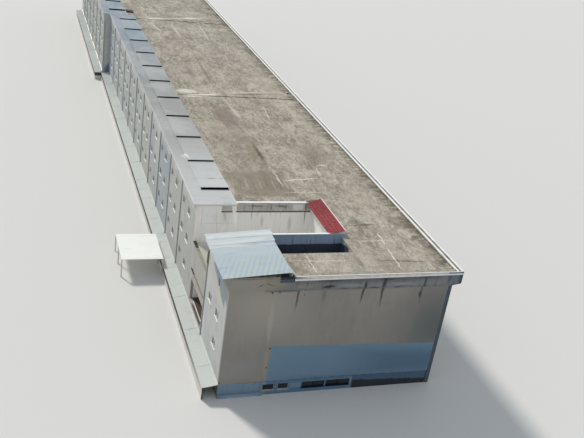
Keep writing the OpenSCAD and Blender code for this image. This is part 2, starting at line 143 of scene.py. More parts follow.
# Marks on a face whose two axes are given: blots and bands from a start to an end, width mm
# wide. In the mark's own turned axes p is one at its edge; a blot takes the length of p and so
# tapers to both ends, a band takes the greater axis and keeps its width. Core is the solid share,
# and through, in metres, is so long that the place across the face never counts
def layMarks(tree, spot, colour, axes, marks):
    through = 90.0
    normal = Vector([0.0 if k in axes else 1.0 for k in range(3)])
    for kind, start, end, width, core, tone, strength in marks:
        ends = np.zeros((2, 3))
        ends[:, list(axes)] = (start, end)
        first, last = (Vector(p) for p in toScene(ends))
        along = (last - first).normalized()
        turn = Matrix((along, normal.cross(along), normal)).transposed().to_euler()
        own = addNode(tree, "Mapping",
                      {"vector_type": "TEXTURE", "Location": (first + last) / 2, "Rotation": turn,
                       "Scale": ((last - first).length / 2, width * 0.0005, through)},
                      {"Vector": spot}).outputs[0]
        if kind == "blot":
            far = addNode(tree, "VectorMath", {"operation": "LENGTH"},
                          {0: own}).outputs["Value"]
        else:
            size = addNode(tree, "VectorMath", {"operation": "ABSOLUTE"}, {0: own})
            parts = addNode(tree, "SeparateXYZ", links={0: size.outputs[0]})
            far = addNode(tree, "Math", {"operation": "MAXIMUM"},
                          {0: parts.outputs[0], 1: parts.outputs[1]}).outputs[0]
        mask = addNode(tree, "MapRange",
                       {"From Min": core, "From Max": 1.0, "To Min": 1.0, "To Max": 0.0,
                        "interpolation_type": "SMOOTHSTEP"}, {0: far}).outputs[0]
        colour = layOver(tree, colour, tone, mask, strength)
    return colour


# Lines across one axis, pitch mm apart and width mm thick, the first at start
def lineMask(tree, spot, axis, start, pitch, width):
    parts = addNode(tree, "SeparateXYZ", links={0: spot})
    zero = (start * 0.001 + wallCorner[axis]) / (pitch * 0.001)
    turn = addNode(tree, "Math",
                   {"operation": "MULTIPLY_ADD", 1: 1000 / pitch, 2: 0.5 - zero},
                   {0: parts.outputs[axis]})
    saw = addNode(tree, "Math", {"operation": "FRACT"}, {0: turn.outputs[0]})
    middle = addNode(tree, "Math", {"operation": "SUBTRACT", 1: 0.5}, {0: saw.outputs[0]})
    gap = addNode(tree, "Math", {"operation": "ABSOLUTE"}, {0: middle.outputs[0]})
    return addNode(tree, "MapRange",
                   {"From Min": width / pitch / 2, "From Max": width / pitch, "To Min": 1.0,
                    "To Max": 0.0}, {0: gap.outputs[0]}).outputs[0]


# One chance value for each bay along Y, the same over its whole height
def bayTone(tree, spot):
    parts = addNode(tree, "SeparateXYZ", links={0: spot})
    count = addNode(tree, "Math",
                    {"operation": "MULTIPLY_ADD", 1: 1000 / bay, 2: -wallCorner[1] * 1000 / bay},
                    {0: parts.outputs[1]})
    step = addNode(tree, "Math", {"operation": "FLOOR"}, {0: count.outputs[0]})
    return addNode(tree, "TexWhiteNoise", {"noise_dimensions": "1D"},
                   {"W": step.outputs[0]}).outputs["Value"]


# Ties colour, roughness range and height to the shader; height is in mm of relief
def finishSurface(tree, shader, colour, rough=None, roughMask=None, height=None, relief=0.5):
    tree.links.new(colour, shader.inputs["Base Color"])
    if roughMask is not None:
        spread = addNode(tree, "MapRange", {"To Min": rough[0], "To Max": rough[1]},
                         {0: roughMask})
        tree.links.new(spread.outputs[0], shader.inputs["Roughness"])
    if height is not None:
        bump = addNode(tree, "Bump", {"Strength": 0.6, "Distance": relief * 0.001},
                       {"Height": height})
        tree.links.new(bump.outputs[0], shader.inputs["Normal"])


# Cement render, trowelled and weathered: cloudy greys, fine sand, rain streaks running down.
# With bays each bay was patched by itself, some beige and some bluish
def cementRender(name, base, pale, dark, streaks=0.35, grime=0.0, bays=0.0, axes=(0, 2),
                 marks=(), other=None):
    surface, tree, shader, spot = startSurface(name, Roughness=0.9)
    colour = layOver(tree, base, pale, cloud(tree, spot, 420, (1, 1, 1.6), 0.45, 0.65), 0.75)
    if bays:
        tone = bayTone(tree, spot)
        warm = addNode(tree, "MapRange", {"From Min": 0.5, "From Max": 1.0}, {0: tone})
        cool = addNode(tree, "MapRange", {"From Min": 0.5, "From Max": 0.0}, {0: tone})
        colour = layOver(tree, colour, "#b3aea2", warm.outputs[0], bays)
        colour = layOver(tree, colour, "#939da4", cool.outputs[0], bays)
        colour = layOver(tree, colour, "#6f7373", lineMask(tree, spot, 1, 12, bay, 4), 0.18)
    patches = cloud(tree, spot, 130, (1, 1, 2.2), 0.5, 0.75, 6, 7.0)
    colour = layOver(tree, colour, dark, patches, 0.45)
    run = cloud(tree, spot, 26, (1, 1, 16), 0.5, 0.72, 3, 3.0)
    colour = layOver(tree, colour, dark, run, streaks)
    if grime:  # splashed dirt near the ground
        low = ramp(tree, waver(tree, spot, 60, 20), 2, 170, 0)
        colour = layOver(tree, colour, "#55534d", low, grime)
    colour = layMarks(tree, waver(tree, spot, 55, 5), colour, axes, marks)
    if other:  # another tone beyond a place along Y
        tone, start, end = other
        colour = layOver(tree, colour, tone, ramp(tree, spot, 1, start, end))
    sand = cloud(tree, spot, 5, low=0.3, high=0.7, detail=2)
    colour = layOver(tree, colour, dark, sand, 0.12)
    finishSurface(tree, shader, colour, (0.82, 0.97), run, sand, 0.5)
    return surface


# Coated steel sheet, rolled: satin, slightly chalked, with dull runs, stains and dark lap lines.
# Tones lie one after another along Y, each from its start to its end
def coatedSheet(name, base, pale, dark, lap=187.5, rust=0.15, tones=(), marks=()):
    surface, tree, shader, spot = startSurface(name, Roughness=0.45)
    colour = base
    for start, end, tone in tones:
        colour = layOver(tree, colour, tone, ramp(tree, spot, 1, start, end))
    colour = layOver(tree, colour, pale, cloud(tree, spot, 520, (1, 1.5, 1)), 0.4)
    runs = cloud(tree, spot, 120, (2.5, 1, 1), 0.52, 0.75, 5, 4.0)
    colour = layOver(tree, colour, dark, runs, 0.35)
    colour = layOver(tree, colour, dark, lineMask(tree, spot, 1, 0, lap, 2.5), 0.5)
    stains = cloud(tree, spot, 340, low=0.6, high=0.75, shift=9.0)
    colour = layOver(tree, colour, "#a79a80", stains, rust)
    colour = layMarks(tree, waver(tree, spot, 40, 10), colour, (0, 1), marks)
    chalk = cloud(tree, spot, 30, low=0.35, high=0.7)
    finishSurface(tree, shader, colour, (0.38, 0.62), chalk, chalk, 0.15)
    return surface


# Painted steel or aluminium, brushed on: even colour, small chips and dull spots
def paintedMetal(name, base, chip, rough=(0.35, 0.6), chips=0.5):
    surface, tree, shader, spot = startSurface(name)
    wear = cloud(tree, spot, 22, (1, 1, 2), 0.6, 0.72, 6)
    colour = layOver(tree, base, chip, wear, chips)
    dull = cloud(tree, spot, 90, (1, 1, 3), 0.5, 0.8, 4, 2.0)
    colour = layOver(tree, colour, "#5c5a55", dull, 0.25)
    finishSurface(tree, shader, colour, rough, wear, wear, 0.2)
    return surface


# Yard side patched bay by bay, street side a little darker and more streaked, far end warmer
# The yard wall's end face at the terrace is painted light, so the shaded face reads pale
yardRender = cementRender("weathered cement render", "#a9adab", "#b9bab5", "#858a89", 0.35, 0.5,
                          0.5, other=("#f6efe4", 1506, 1502))
streetRender = cementRender("street side render", "#a4a7a6", "#b4b5b0", "#7b7f80", 0.4, 0.6)
endRender = cementRender("far end render", "#a09c95", "#aeaba4", "#7e7b75", 0.35, 0.5)

# Marks are kind, start, end, width, solid share, tone and strength, in mm on the face.
# Stair block wall: painted shade of the sheets below the eave, a warm strip next to the corner, and
# the edge beam's end face at the terrace painted light
stairRender = cementRender("stair block render", "#babab6", "#c6c6c1", "#949796", 0.3, 0.3,
                           axes=(1, 2), marks=[
    ("blot", (742, 90), (775, 620), 60, 0.4, "#cdd6da", 0.7),
    ("band", (300, 800), (300, 1130), 420, 0.5, "#c4c3bc", 0.4),
    ("band", (-30, 1200), (690, 1250), 190, 0.9, "#7f8a98", 0.85),
    ("band", (60, 968), (600, 1180), 205, 0.75, "#747f8d", 0.85),
    ("band", (-139, 1050), (239, 1275), 340, 0.9, "#84877f", 0.9),
    ("band", (1480, 1200), (1506, 1200), 300, 0.9, "#f6efe4", 0.95),
])

# End wall of the wing: a pale corner, a blue patch low down and one broad rain streak
wingEndRender = cementRender("wing end render", "#b6b7b5", "#c0c0bd", "#8f9394", 0.35, 0.3, marks=[
    ("band", (-84, 180), (-84, 1250), 14, 0.5, "#cfcfcc", 0.8),
    ("blot", (-70, 40), (30, 380), 190, 0.3, "#3f6a96", 0.85),
    ("band", (-20, 150), (-20, 1260), 46, 0.3, "#989fa5", 0.6),
])

# Render of the near end wall: even warm grey, a blue paint patch low down, old water marks
nearRender = cementRender("near end render", "#908b83", "#98938a", "#7d7973", 0.14, marks=[
    ("blot", (-200, 900), (900, 1000), 1000, 0.1, "#aaa296", 0.75),
    ("blot", (1450, 700), (2750, 700), 1500, 0.0, "#5f6364", 0.9),
    ("band", (-60, 300), (425, 300), 300, 0.2, "#979593", 0.55),
    ("band", (443, 344), (2140, 277), 412, 0.965, "#6b8aa0", 0.94),
    ("band", (1000, 322), (2900, 247), 412, 0.2, "#476880", 0.75),
    ("band", (443, 175), (2140, 100), 90, 0.3, "#45606f", 0.4),
    ("band", (420, 540), (434, 150), 44, 0.5, "#a5988a", 0.6),
    ("blot", (401, 1090), (422, 480), 66, 0.3, "#b3ab9d", 0.6),
    ("band", (293, 1119), (671, 1117), 9, 0.4, "#3f3b36", 0.75),
    ("blot", (381, 1130), (399, 1090), 26, 0.3, "#35312d", 0.8),
    ("blot", (446, 1135), (462, 1100), 24, 0.3, "#35312d", 0.8),
    ("blot", (640, 1370), (624, 850), 28, 0.3, "#45403a", 0.85),
    ("blot", (690, 1100), (699, 1060), 14, 0.3, "#3a3631", 0.8),
    ("blot", (884, 1180), (872, 950), 74, 0.1, "#6b6761", 0.6),
    ("blot", (1265, 1290), (1246, 930), 36, 0.3, "#3a3632", 0.92),
    ("blot", (1444, 1390), (1452, 840), 34, 0.2, "#3d3935", 0.9),
    ("blot", (1450, 1240), (1444, 1010), 60, 0.1, "#4a4641", 0.6),
    ("blot", (1850, 1290), (1853, 870), 26, 0.2, "#423e3a", 0.8),
    ("blot", (1838, 1085), (1842, 1000), 40, 0.3, "#35322e", 0.85),
    # A thin dark line along the fascia's lower edge: painted shade under it
    ("band", (671, 1121), (2125, 1121), 8, 0.2, "#55524e", 0.5),
    # A dark line along the wall's foot: painted shade over the set-back plinth
    ("band", (-20, 151), (2140, 151), 9, 0.4, "#1c2026", 0.85),
])

# Render round the terrace: white once, with grey runs below the roof beam
terraceRender = cementRender("terrace render", "#f0efeb", "#f6f5f2", "#cfcac1", 0.32, marks=[
    ("blot", (381, 1400), (439, 930), 60, 0.4, "#ffffff", 0.9),
    ("blot", (1158, 1330), (1182, 980), 22, 0.3, "#6f675a", 0.8),
    ("blot", (380, 1180), (1230, 1180), 70, 0.1, "#b3aa9c", 0.5),
    ("blot", (584, 1330), (590, 1030), 14, 0.2, "#77726a", 0.7),
    ("blot", (650, 1250), (655, 1080), 12, 0.2, "#8c877e", 0.6),
    ("blot", (785, 1250), (790, 1100), 12, 0.2, "#8c877e", 0.6),
    ("blot", (900, 1290), (903, 1060), 10, 0.2, "#8c877e", 0.5),
    ("blot", (200, 1260), (250, 780), 9, 0.2, "#b89c94", 0.6),
    ("band", (60, 1262), (66, 930), 8, 0.3, "#b59b92", 0.5),
    ("blot", (270, 1262), (330, 1010), 60, 0.1, "#aaa094", 0.5),
    ("blot", (700, 1160), (712, 960), 46, 0.1, "#b7b0a5", 0.6),
    ("blot", (1010, 1160), (1018, 900), 60, 0.1, "#b7b0a5", 0.6),
    ("band", (30, 1040), (430, 1040), 10, 0.2, "#a89f93", 0.5),
])

# Render inside the light well: blue-grey in the shade, with painted shade near black in its depth
wellTones = ("#98a8bb", "#a5b3c4", "#6c7987")
wellRender = cementRender("light well render", *wellTones, 0.45, marks=[
    *[("band", (x, 1240), (x, 1100), 14, 0.3, "#4a5866", 0.7) for x in (805, 990, 1242)],
    ("band", (400, 984), (1500, 984), 370, 0.94, "#18202c", 0.96),
], other=("#e9e4da", 797, 803))
wellSideRender = cementRender("light well side render", *wellTones, 0.45, axes=(1, 2), marks=[
    ("band", (530, 1060), (800, 981), 370, 0.94, "#18202c", 0.96),
])

# Loading bay wall: greyer, with a dark threshold; the recess behind it is near white, painted light
# that brightens its shaded walls
loadingRender = cementRender("loading bay render", "#aba7a1", "#b8b4ae", "#8b867f", 0.4, 0.3,
                             axes=(1, 2), marks=[
    ("band", (838, 203), (1345, 203), 15, 0.6, "#3f352b", 0.9),
    ("blot", (1440, 300), (1450, 840), 60, 0.2, "#c6c1b8", 0.6),
    ("blot", (830, 190), (880, 820), 40, 0.2, "#8c857a", 0.5),
])
recessRender = cementRender("recess render", "#fbf8f2", "#ffffff", "#dcd8cf", 0.2)

# Half basement wall: blue paint, lighter and darker by stretches, painted shade black along its
# foot
plinthRender = cementRender("plinth render", "#7a92a4", "#86a0b2", "#5b6a76", 0.4, 0.15, marks=[
    ("band", (0, 14), (440, 14), 34, 0.4, "#a3b3c0", 0.6),
    ("band", (440, 75), (1320, 75), 170, 0.9, "#52718a", 0.8),
    ("band", (700, 84), (808, 80), 58, 0.8, "#8fa3b4", 0.35),
    ("band", (1315, 80), (2400, 80), 200, 0.96, "#3d5870", 0.9),
    ("band", (1315, 1), (2400, -58), 200, 0.94, "#0d1013", 0.97),
])
basementRender = cementRender("basement wall render", "#8d9092", "#9b9e9f", "#6c7072", 0.4, 0.5)
lowRender = cementRender("low wall render", "#cfccc5", "#d8d5ce", "#a39f96", 0.3, axes=(1, 2),
                         marks=[  # dark under the lean-to's edge and in its open end
    # Painted shade: black along the top of the wall's face under the lean-to's edge, and on its
    # near end where the lean-to is open
    ("band", (-400, 99), (totalLength + 400, 99), 64, 0.8, "#111316", 0.96),
    ("band", (-9, 60), (3, 60), 260, 0.9, "#15181c", 0.95),
])


# Roof screed, floated by hand and long weathered: taupe concrete, coarse mottles drawn out along
# Y, dark damp areas, pale mortar lines at the joints, lichen specks and grime along the kerbs.
# With a front tone the outer faces are painted that colour
def roofScreed(name, base, marks, front=None):
    surface, tree, shader, spot = startSurface(name, Roughness=0.95)
    colour = layOver(tree, base, "#8a857c", ramp(tree, spot, 1, 2500, 9500), 0.5)
    # tone, size in mm, stretch along Y, low, high, strength
    for k, (tone, size, long, low, high, strength) in enumerate((
            ("#bdb4a4", 430, 1.5, 0.42, 0.62, 0.62), ("#7a6f5f", 280, 1.6, 0.46, 0.64, 0.66),
            ("#685f50", 95, 2.4, 0.48, 0.62, 0.45), ("#cbc2b1", 60, 2.6, 0.5, 0.64, 0.42),
            ("#574f42", 30, 2.4, 0.5, 0.62, 0.38), ("#d3cbbc", 24, 2.0, 0.52, 0.64, 0.36))):
        colour = layOver(tree, colour, tone,
                         cloud(tree, spot, size, (1, long, 1), low, high, 7, 3.0 * k), strength)
    uneven = waver(tree, spot, 70, 12)
    broken = cloud(tree, spot, 260, low=0.45, high=0.6, shift=6.0)
    for axis, start, pitch, tone in ((0, 520, 540, "#cdc5b5"), (1, 310, 375, "#6a6255"),
                                     (1, 326, 375, "#c4bba9")):
        line = lineMask(tree, uneven, axis, start, pitch, 7)
        seen = addNode(tree, "Math", {"operation": "MULTIPLY"}, {0: line, 1: broken})
        colour = layOver(tree, colour, tone, seen.outputs[0], 0.45)
    edge = ramp(tree, waver(tree, spot, 140, 60), 0, 2020, 2160)
    drips = cloud(tree, spot, 60, (3.0, 1, 1), 0.4, 0.6, 6, 17.0)
    seen = addNode(tree, "Math", {"operation": "MULTIPLY"}, {0: edge, 1: drips})
    colour = layOver(tree, colour, "#5d5646", seen.outputs[0], 0.85)
    colour = layMarks(tree, uneven, colour, (0, 1), marks)
    specks = cloud(tree, spot, 14, (1, 2, 1), 0.52, 0.64, 6)
    colour = layOver(tree, colour, "#57503f", specks, 0.4)
    if front:
        runs = cloud(tree, spot, 40, (1, 1, 4), 0.5, 0.66, 6, 8.0)
        face = layOver(tree, front, "#2f3438", runs, 0.7)
        for axis, start, end in ((1, totalLength + 2, totalLength + 4.5),
                                 (0, streetEdge - 3, streetEdge - 0.5)):
            colour = layOver(tree, colour, face, ramp(tree, spot, axis, start, end))
        face = layOver(tree, face, "#26323f", ramp(tree, spot, 0, 2190, 2240), 0.75)
        colour = layOver(tree, colour, face, ramp(tree, spot, 1, -2, -4.5))
    finishSurface(tree, shader, colour, (0.85, 0.98), broken, specks, 1.2)
    return surface


# Mortar lines, damp and dark patches, pale repairs and drawn-out streaks of the roof. The marks
# at its two far joints lie on the kerbs there as well
pale, white, dark, damp = "#cfc8b8", "#e0dacc", "#544d41", "#7c7261"
jointMarks = [
    ("blot", (1110, 7800), (1030, 5200), 60, 0.3, "#6b6254", 0.65),
    ("band", (456, 5043), (1124, 5205), 120, 0.4, white, 0.95),
    ("band", (1124, 5205), (2147, 5376), 60, 0.3, dark, 0.7),
    ("band", (1124, 5275), (2147, 5446), 60, 0.3, pale, 0.7),
    ("band", (450, 9587), (2139, 10210), 120, 0.3, pale, 0.7),
    ("blot", (560, 9640), (1000, 9790), 240, 0.3, white, 0.75),
    ("blot", (1300, 9900), (1700, 10040), 220, 0.3, white, 0.7),
]
roofMarks = [
    # Under the end of the stair block's sheets: painted shade, and beside it a pale strip of
    # painted light
    ("band", (400, 45), (545, 45), 150, 0.9, "#24384e", 0.92),
    ("band", (556, -10), (590, 95), 34, 0.7, "#efede6", 0.85),
    ("blot", (780, 1500), (900, 5000), 800, 0.3, "#7f7362", 0.36),
    ("blot", (500, 250), (2200, 350), 800, 0.3, "#bcb4a6", 0.3),
    ("band", (448, 2050), (1177, 2050), 700, 0.85, damp, 0.7),
    ("band", (448, 2405), (1177, 2395), 16, 0.4, dark, 0.75),
    ("blot", (1035, 2400), (1055, 3560), 90, 0.2, dark, 0.85),
    ("blot", (1040, 2760), (1046, 3150), 60, 0.2, "#3f392f", 0.7),
    ("blot", (950, 2560), (1020, 3500), 240, 0.1, "#77694f", 0.45),
    ("blot", (1045, 3500), (970, 4230), 22, 0.3, dark, 0.6),
    ("band", (1062, 2445), (1057, 1944), 14, 0.5, white, 0.8),
    ("band", (1067, 2133), (1578, 2232), 36, 0.3, white, 0.8),
    ("blot", (1300, 2330), (1640, 2420), 260, 0.2, "#c3b9a8", 0.5),
    ("band", (972, 1812), (1564, 1846), 20, 0.4, pale, 0.7),
    ("band", (1637, 2587), (1610, 2290), 14, 0.5, white, 0.75),
    ("band", (1637, 2587), (1848, 2642), 14, 0.5, white, 0.75),
    ("blot", (1560, 1690), (2030, 1630), 470, 0.4, "#c4baa7", 0.4),
    ("blot", (1640, 1590), (1800, 1610), 110, 0.2, "#857b66", 0.6),
    ("blot", (1790, 1740), (1960, 1760), 130, 0.2, "#8b816c", 0.5),
    ("blot", (1380, 1017), (1870, 1047), 26, 0.3, dark, 0.85),
    ("blot", (1540, 1030), (1800, 1050), 60, 0.1, dark, 0.5),
    ("blot", (1800, 1045), (2090, 1062), 14, 0.3, dark, 0.5),
    ("band", (1355, 674), (1907, 700), 24, 0.4, pale, 0.65),
    ("band", (691, 305), (1269, 317), 28, 0.4, pale, 0.65),
    ("blot", (1390, 314), (2080, 242), 44, 0.3, "#5f5544", 0.75),
    ("band", (1729, 878), (1701, 580), 17, 0.5, white, 0.9),
    ("band", (1701, 580), (1664, 91), 17, 0.5, white, 0.9),
    ("band", (822, 529), (811, 28), 15, 0.5, white, 0.7),
    ("blot", (1301, 500), (1300, 60), 80, 0.2, damp, 0.65),
    ("blot", (1455, 3040), (2073, 3040), 900, 0.3, "#82786a", 0.55),
    ("blot", (915, 3780), (915, 4790), 380, 0.4, "#786a62", 0.6),
    ("band", (800, 4130), (1120, 4175), 820, 0.85, "#7d7067", 0.35),
    ("band", (1071, 5040), (1116, 4209), 16, 0.5, pale, 0.7),
    ("band", (1584, 4800), (1525, 4173), 15, 0.5, pale, 0.7),
    ("band", (1062, 9543), (1062, 8363), 20, 0.5, pale, 0.7),
    ("band", (1601, 9550), (1554, 8216), 20, 0.5, pale, 0.7),
    ("band", (668, 9421), (780, 8707), 26, 0.5, pale, 0.6),
    ("blot", (834, 5800), (834, 6580), 170, 0.3, "#6f6657", 0.6),
    ("band", (576, 7838), (968, 7935), 22, 0.4, "#6b6254", 0.6),
    ("band", (1013, 10701), (2119, 11093), 26, 0.4, "#655c4f", 0.6),
    ("blot", (400, 5290), (800, 5290), 250, 0.4, "#dcd5c6", 0.85),
    *jointMarks,
    ("blot", (600, 900), (600, 1600), 330, 0.2, "#b9ae99", 0.5),
    ("blot", (1900, 4000), (1900, 7000), 500, 0.2, "#b4ab9b", 0.45),
    ("blot", (1300, 11500), (1500, 14000), 900, 0.2, "#b0a797", 0.4),
]
# Thin lines a little wider the farther they lie, as runs of mortar spread
roofMarks = [(kind, start, end, width * (1 + start[1] / 12000 if width < 30 else 1), *rest)
             for kind, start, end, width, *rest in roofMarks]
for k in range(9):  # slanting trowel strokes over the damp part
    start, end = (470 + 78 * k, 1760 + 40 * (k % 3)), (540 + 74 * k, 2290 - 60 * (k % 2))
    roofMarks.append(("blot", start, end, 20 + 6 * (k % 3), 0.1, (pale, "#5b5244")[k % 2], 0.36))
roofConcrete = roofScreed("weathered roof screed", "#a49b8c", roofMarks)
streetKerb = roofScreed("street kerb screed", "#9a9183", [  # a damp channel between its caps
    ("band", (2221, -200), (2221, 15200), 34, 0.5, "#8d8a80", 0.6),
    ("band", (2221, 236), (2221, 1775), 30, 0.6, "#6f6b5b", 0.6)], "#70757b")
kerbConcrete = roofScreed("joint kerb mortar", "#9f9687", jointMarks)


# Cast concrete edge beam: paint mostly gone, black algae runs from the top edge
def edgeConcrete(name, base, pale, runs=0.6, axes=(0, 2), marks=(), crown=None):
    surface, tree, shader, spot = startSurface(name, Roughness=0.9)
    colour = layOver(tree, base, pale, cloud(tree, spot, 260, low=0.45, high=0.65), 0.6)
    wet = cloud(tree, spot, 60, (1, 1, 5), 0.48, 0.66, 6, 3.0)
    colour = layOver(tree, colour, "#5f5b54", wet, runs)
    algae = cloud(tree, spot, 34, (1, 1, 3), 0.6, 0.72, 6, 8.0)
    colour = layOver(tree, colour, "#3e3c38", algae, runs)
    colour = layMarks(tree, waver(tree, spot, 40, 5), colour, axes, marks)
    if crown:  # the far end plain, the yard side in the sheets' shade, the top like the roof
        colour = layOver(tree, colour, layOver(tree, "#8f8c86", "#5f5b54", wet, 0.5),
                         ramp(tree, spot, 1, 200, 400))
        colour = layOver(tree, colour, "#84877f", ramp(tree, spot, 0, 4, 1), 0.85)
        mottled = layOver(tree, crown, "#756c5d", cloud(tree, spot, 40, low=0.45, high=0.6), 0.6)
        colour = layOver(tree, colour, mottled, ramp(tree, spot, 2, 1262, 1268))
    sand = cloud(tree, spot, 6, low=0.3, high=0.7, detail=3)
    colour = layOver(tree, colour, "#6a675f", sand, 0.12)
    finishSurface(tree, shader, colour, (0.8, 0.95), wet, sand, 0.6)
    return surface


# The near fascia, with the water marks that run on down the wall below it
fasciaConcrete = edgeConcrete("stained fascia concrete", "#777879", "#858687", 0.6, marks=[
    ("band", (-200, 1195), (330, 1195), 200, 0.9, "#9c958a", 0.95),
    ("blot", (180, 1195), (560, 1195), 240, 0.2, "#98917f", 0.8),
    ("band", (-60, 1262), (443, 1262), 26, 0.3, "#5b554d", 0.6),
    ("band", (560, 1165), (800, 1165), 60, 0.3, "#928c81", 0.7),
    ("band", (860, 1160), (2150, 1164), 52, 0.3, "#868d95", 0.55),
    ("blot", (960, 1168), (1300, 1160), 40, 0.2, "#9aa0a5", 0.5),
    ("blot", (1480, 1168), (1800, 1162), 40, 0.2, "#9aa0a5", 0.5),
    ("band", (577, 1212), (2140, 1220), 50, 0.4, "#5f5b54", 0.55),
    ("blot", (700, 1216), (1130, 1222), 40, 0.1, "#34332f", 0.7),
    ("blot", (1330, 1216), (1640, 1222), 44, 0.1, "#34332f", 0.7),
    ("blot", (1700, 1222), (2060, 1220), 36, 0.1, "#3a3936", 0.6),
    ("blot", (240, 1168), (312, 1212), 9, 0.5, "#45413b", 0.8),
    ("blot", (302, 1213), (418, 1178), 9, 0.5, "#45413b", 0.8),
    ("band", (293, 1131), (671, 1131), 10, 0.4, "#3f3b36", 0.7),
    ("band", (700, 1150), (704, 1236), 12, 0.3, "#3f3b36", 0.75),
    ("blot", (830, 1150), (992, 1166), 42, 0.4, "#1f1d1b", 0.9),
    ("band", (1010, 1137), (1110, 1134), 14, 0.4, "#35322e", 0.8),
    ("band", (1110, 1131), (1290, 1136), 8, 0.3, "#4a4742", 0.6),
    ("band", (1290, 1136), (1420, 1133), 14, 0.4, "#35322e", 0.8),
    ("band", (1550, 1134), (1625, 1133), 14, 0.4, "#35322e", 0.8),
    ("band", (1640, 1137), (2130, 1132), 8, 0.3, "#4a4742", 0.5),
    ("blot", (1270, 1225), (1262, 1090), 42, 0.3, "#2f2c29", 0.9),
    ("blot", (1462, 1280), (1440, 1080), 60, 0.2, "#2f2c29", 0.9),
    ("blot", (1870, 1250), (1860, 1090), 38, 0.2, "#35322f", 0.85),
    # A pale band along the top of the face: painted light, for the lit top edge of the kerb
    ("band", (560, 1260), (2300, 1268), 26, 0.8, "#efe5d4", 0.95),
], crown="#a0978a")

# Piers dark blue-grey as painted shade, the terrace beam pale with black runs, the kerb mortar
# greenish with moss and painted shade black at its far end
pierConcrete = edgeConcrete("pier concrete", "#434e5a", "#4d5965", 0.5)
beamConcrete = edgeConcrete("terrace beam concrete", "#b7b3ad", "#c3bfb9", 0.35, marks=[
    ("blot", (480, 1244), (770, 1232), 34, 0.1, "#5a564e", 0.7),
    ("blot", (780, 1246), (1010, 1226), 40, 0.1, "#4a4740", 0.75),
    ("blot", (584, 1290), (588, 1170), 22, 0.3, "#4a4741", 0.8),
    ("blot", (785, 1280), (789, 1170), 18, 0.3, "#55514a", 0.75),
    ("blot", (947, 1280), (950, 1170), 18, 0.3, "#55514a", 0.75),
    ("band", (1002, 1225), (1158, 1225), 90, 0.5, "#ecebe7", 0.7),
    ("blot", (1165, 1300), (1170, 1160), 22, 0.3, "#5a5247", 0.8),
    ("band", (381, 1290), (400, 1170), 58, 0.7, "#fff8ec", 0.95),
])
mossAndShadeMortar = edgeConcrete("moss-stained mortar with painted shade at its far end", "#8f8b78", "#9c9886", 0.4, axes=(0, 1), marks=[
    # Painted shade: black at the far end of the kerb and the slot foot
    ("band", (15, 1350), (15, 1530), 200, 0.95, "#121312", 0.95),
])

# Floated floors: dusty grey concrete, a dark brown screed, and the terrace's bright one with
# painted shade near black below the light well
floorConcrete = cementRender("floated floor concrete", "#9a9890", "#a9a79f", "#74726b", 0.0)
brownFloor = cementRender("dark brown floor screed", "#4a3f30", "#574a39", "#2e271e", 0.0)
terraceFloor = cementRender("terrace floor screed", "#e6e2da", "#ece8e1", "#c8c3b9", 0.0,
                            axes=(0, 1), marks=[
    ("band", (90, 700), (90, 1600), 260, 0.3, "#a8a398", 0.9),
    ("band", (540, 627), (1350, 627), 340, 0.97, "#1a2330", 0.97),
])

# Lime wash and mortar are bright with faint scuffs, honed marble has a soft sheen
limeWash = cementRender("white coping paint", "#f1f1ee", "#f8f8f6", "#c3c2bc", 0.06)
mortar = cementRender("tile bedding mortar", "#e9dedb", "#f1ebe8", "#c4b4b0", 0.05)
marble = cementRender("honed white marble", "#ecebe6", "#f6f5f1", "#c9c8c4", 0.06)

# Rust and pale dust on the metal roof's near end
stripMarks = [
    ("blot", (60, 2840), (108, 2640), 22, 0.3, "#f4f6f6", 0.6),
    ("blot", (96, 2830), (140, 2600), 32, 0.3, "#ffffff", 0.8),
    ("blot", (205, 2083), (335, 2087), 30, 0.4, "#7d6255", 0.8),
    ("blot", (340, 2085), (450, 2089), 26, 0.4, "#94806f", 0.7),
    ("blot", (70, 3010), (430, 2985), 70, 0.1, "#b9ab95", 0.4),
    ("blot", (120, 2330), (430, 2360), 60, 0.1, "#bfb098", 0.4),
]
# Roof sheets and their flashings go from pale to blue-grey along the building, the lean-to's are
# greenish, and those of the shelter are still bright white
roofSteel = coatedSheet("blue-grey coated roof steel", "#cfcfcb", "#d8d8d4", "#a3a9ac", rust=0.12,
                        tones=((1600, 4200, "#a8a8a3"), (4600, 9500, "#a3afb8")), marks=stripMarks)
lidSteel = coatedSheet("folded flashing steel", "#cccbc6", "#d6d6d1", "#9ea5a8", rust=0.12,
                       tones=((1600, 4200, "#ababa7"), (4600, 9500, "#9ea9b1")), marks=stripMarks)
leanSteel = coatedSheet("pale lean-to steel", "#c1c4be", "#cbcec8", "#9da09b", lap=600, rust=0.15,
                        tones=((5500, 10500, "#a9aeac"),))
whiteSteel = coatedSheet("white coated steel", "#fffef6", "#fffefa", "#e6e6df", lap=200, rust=0.0)
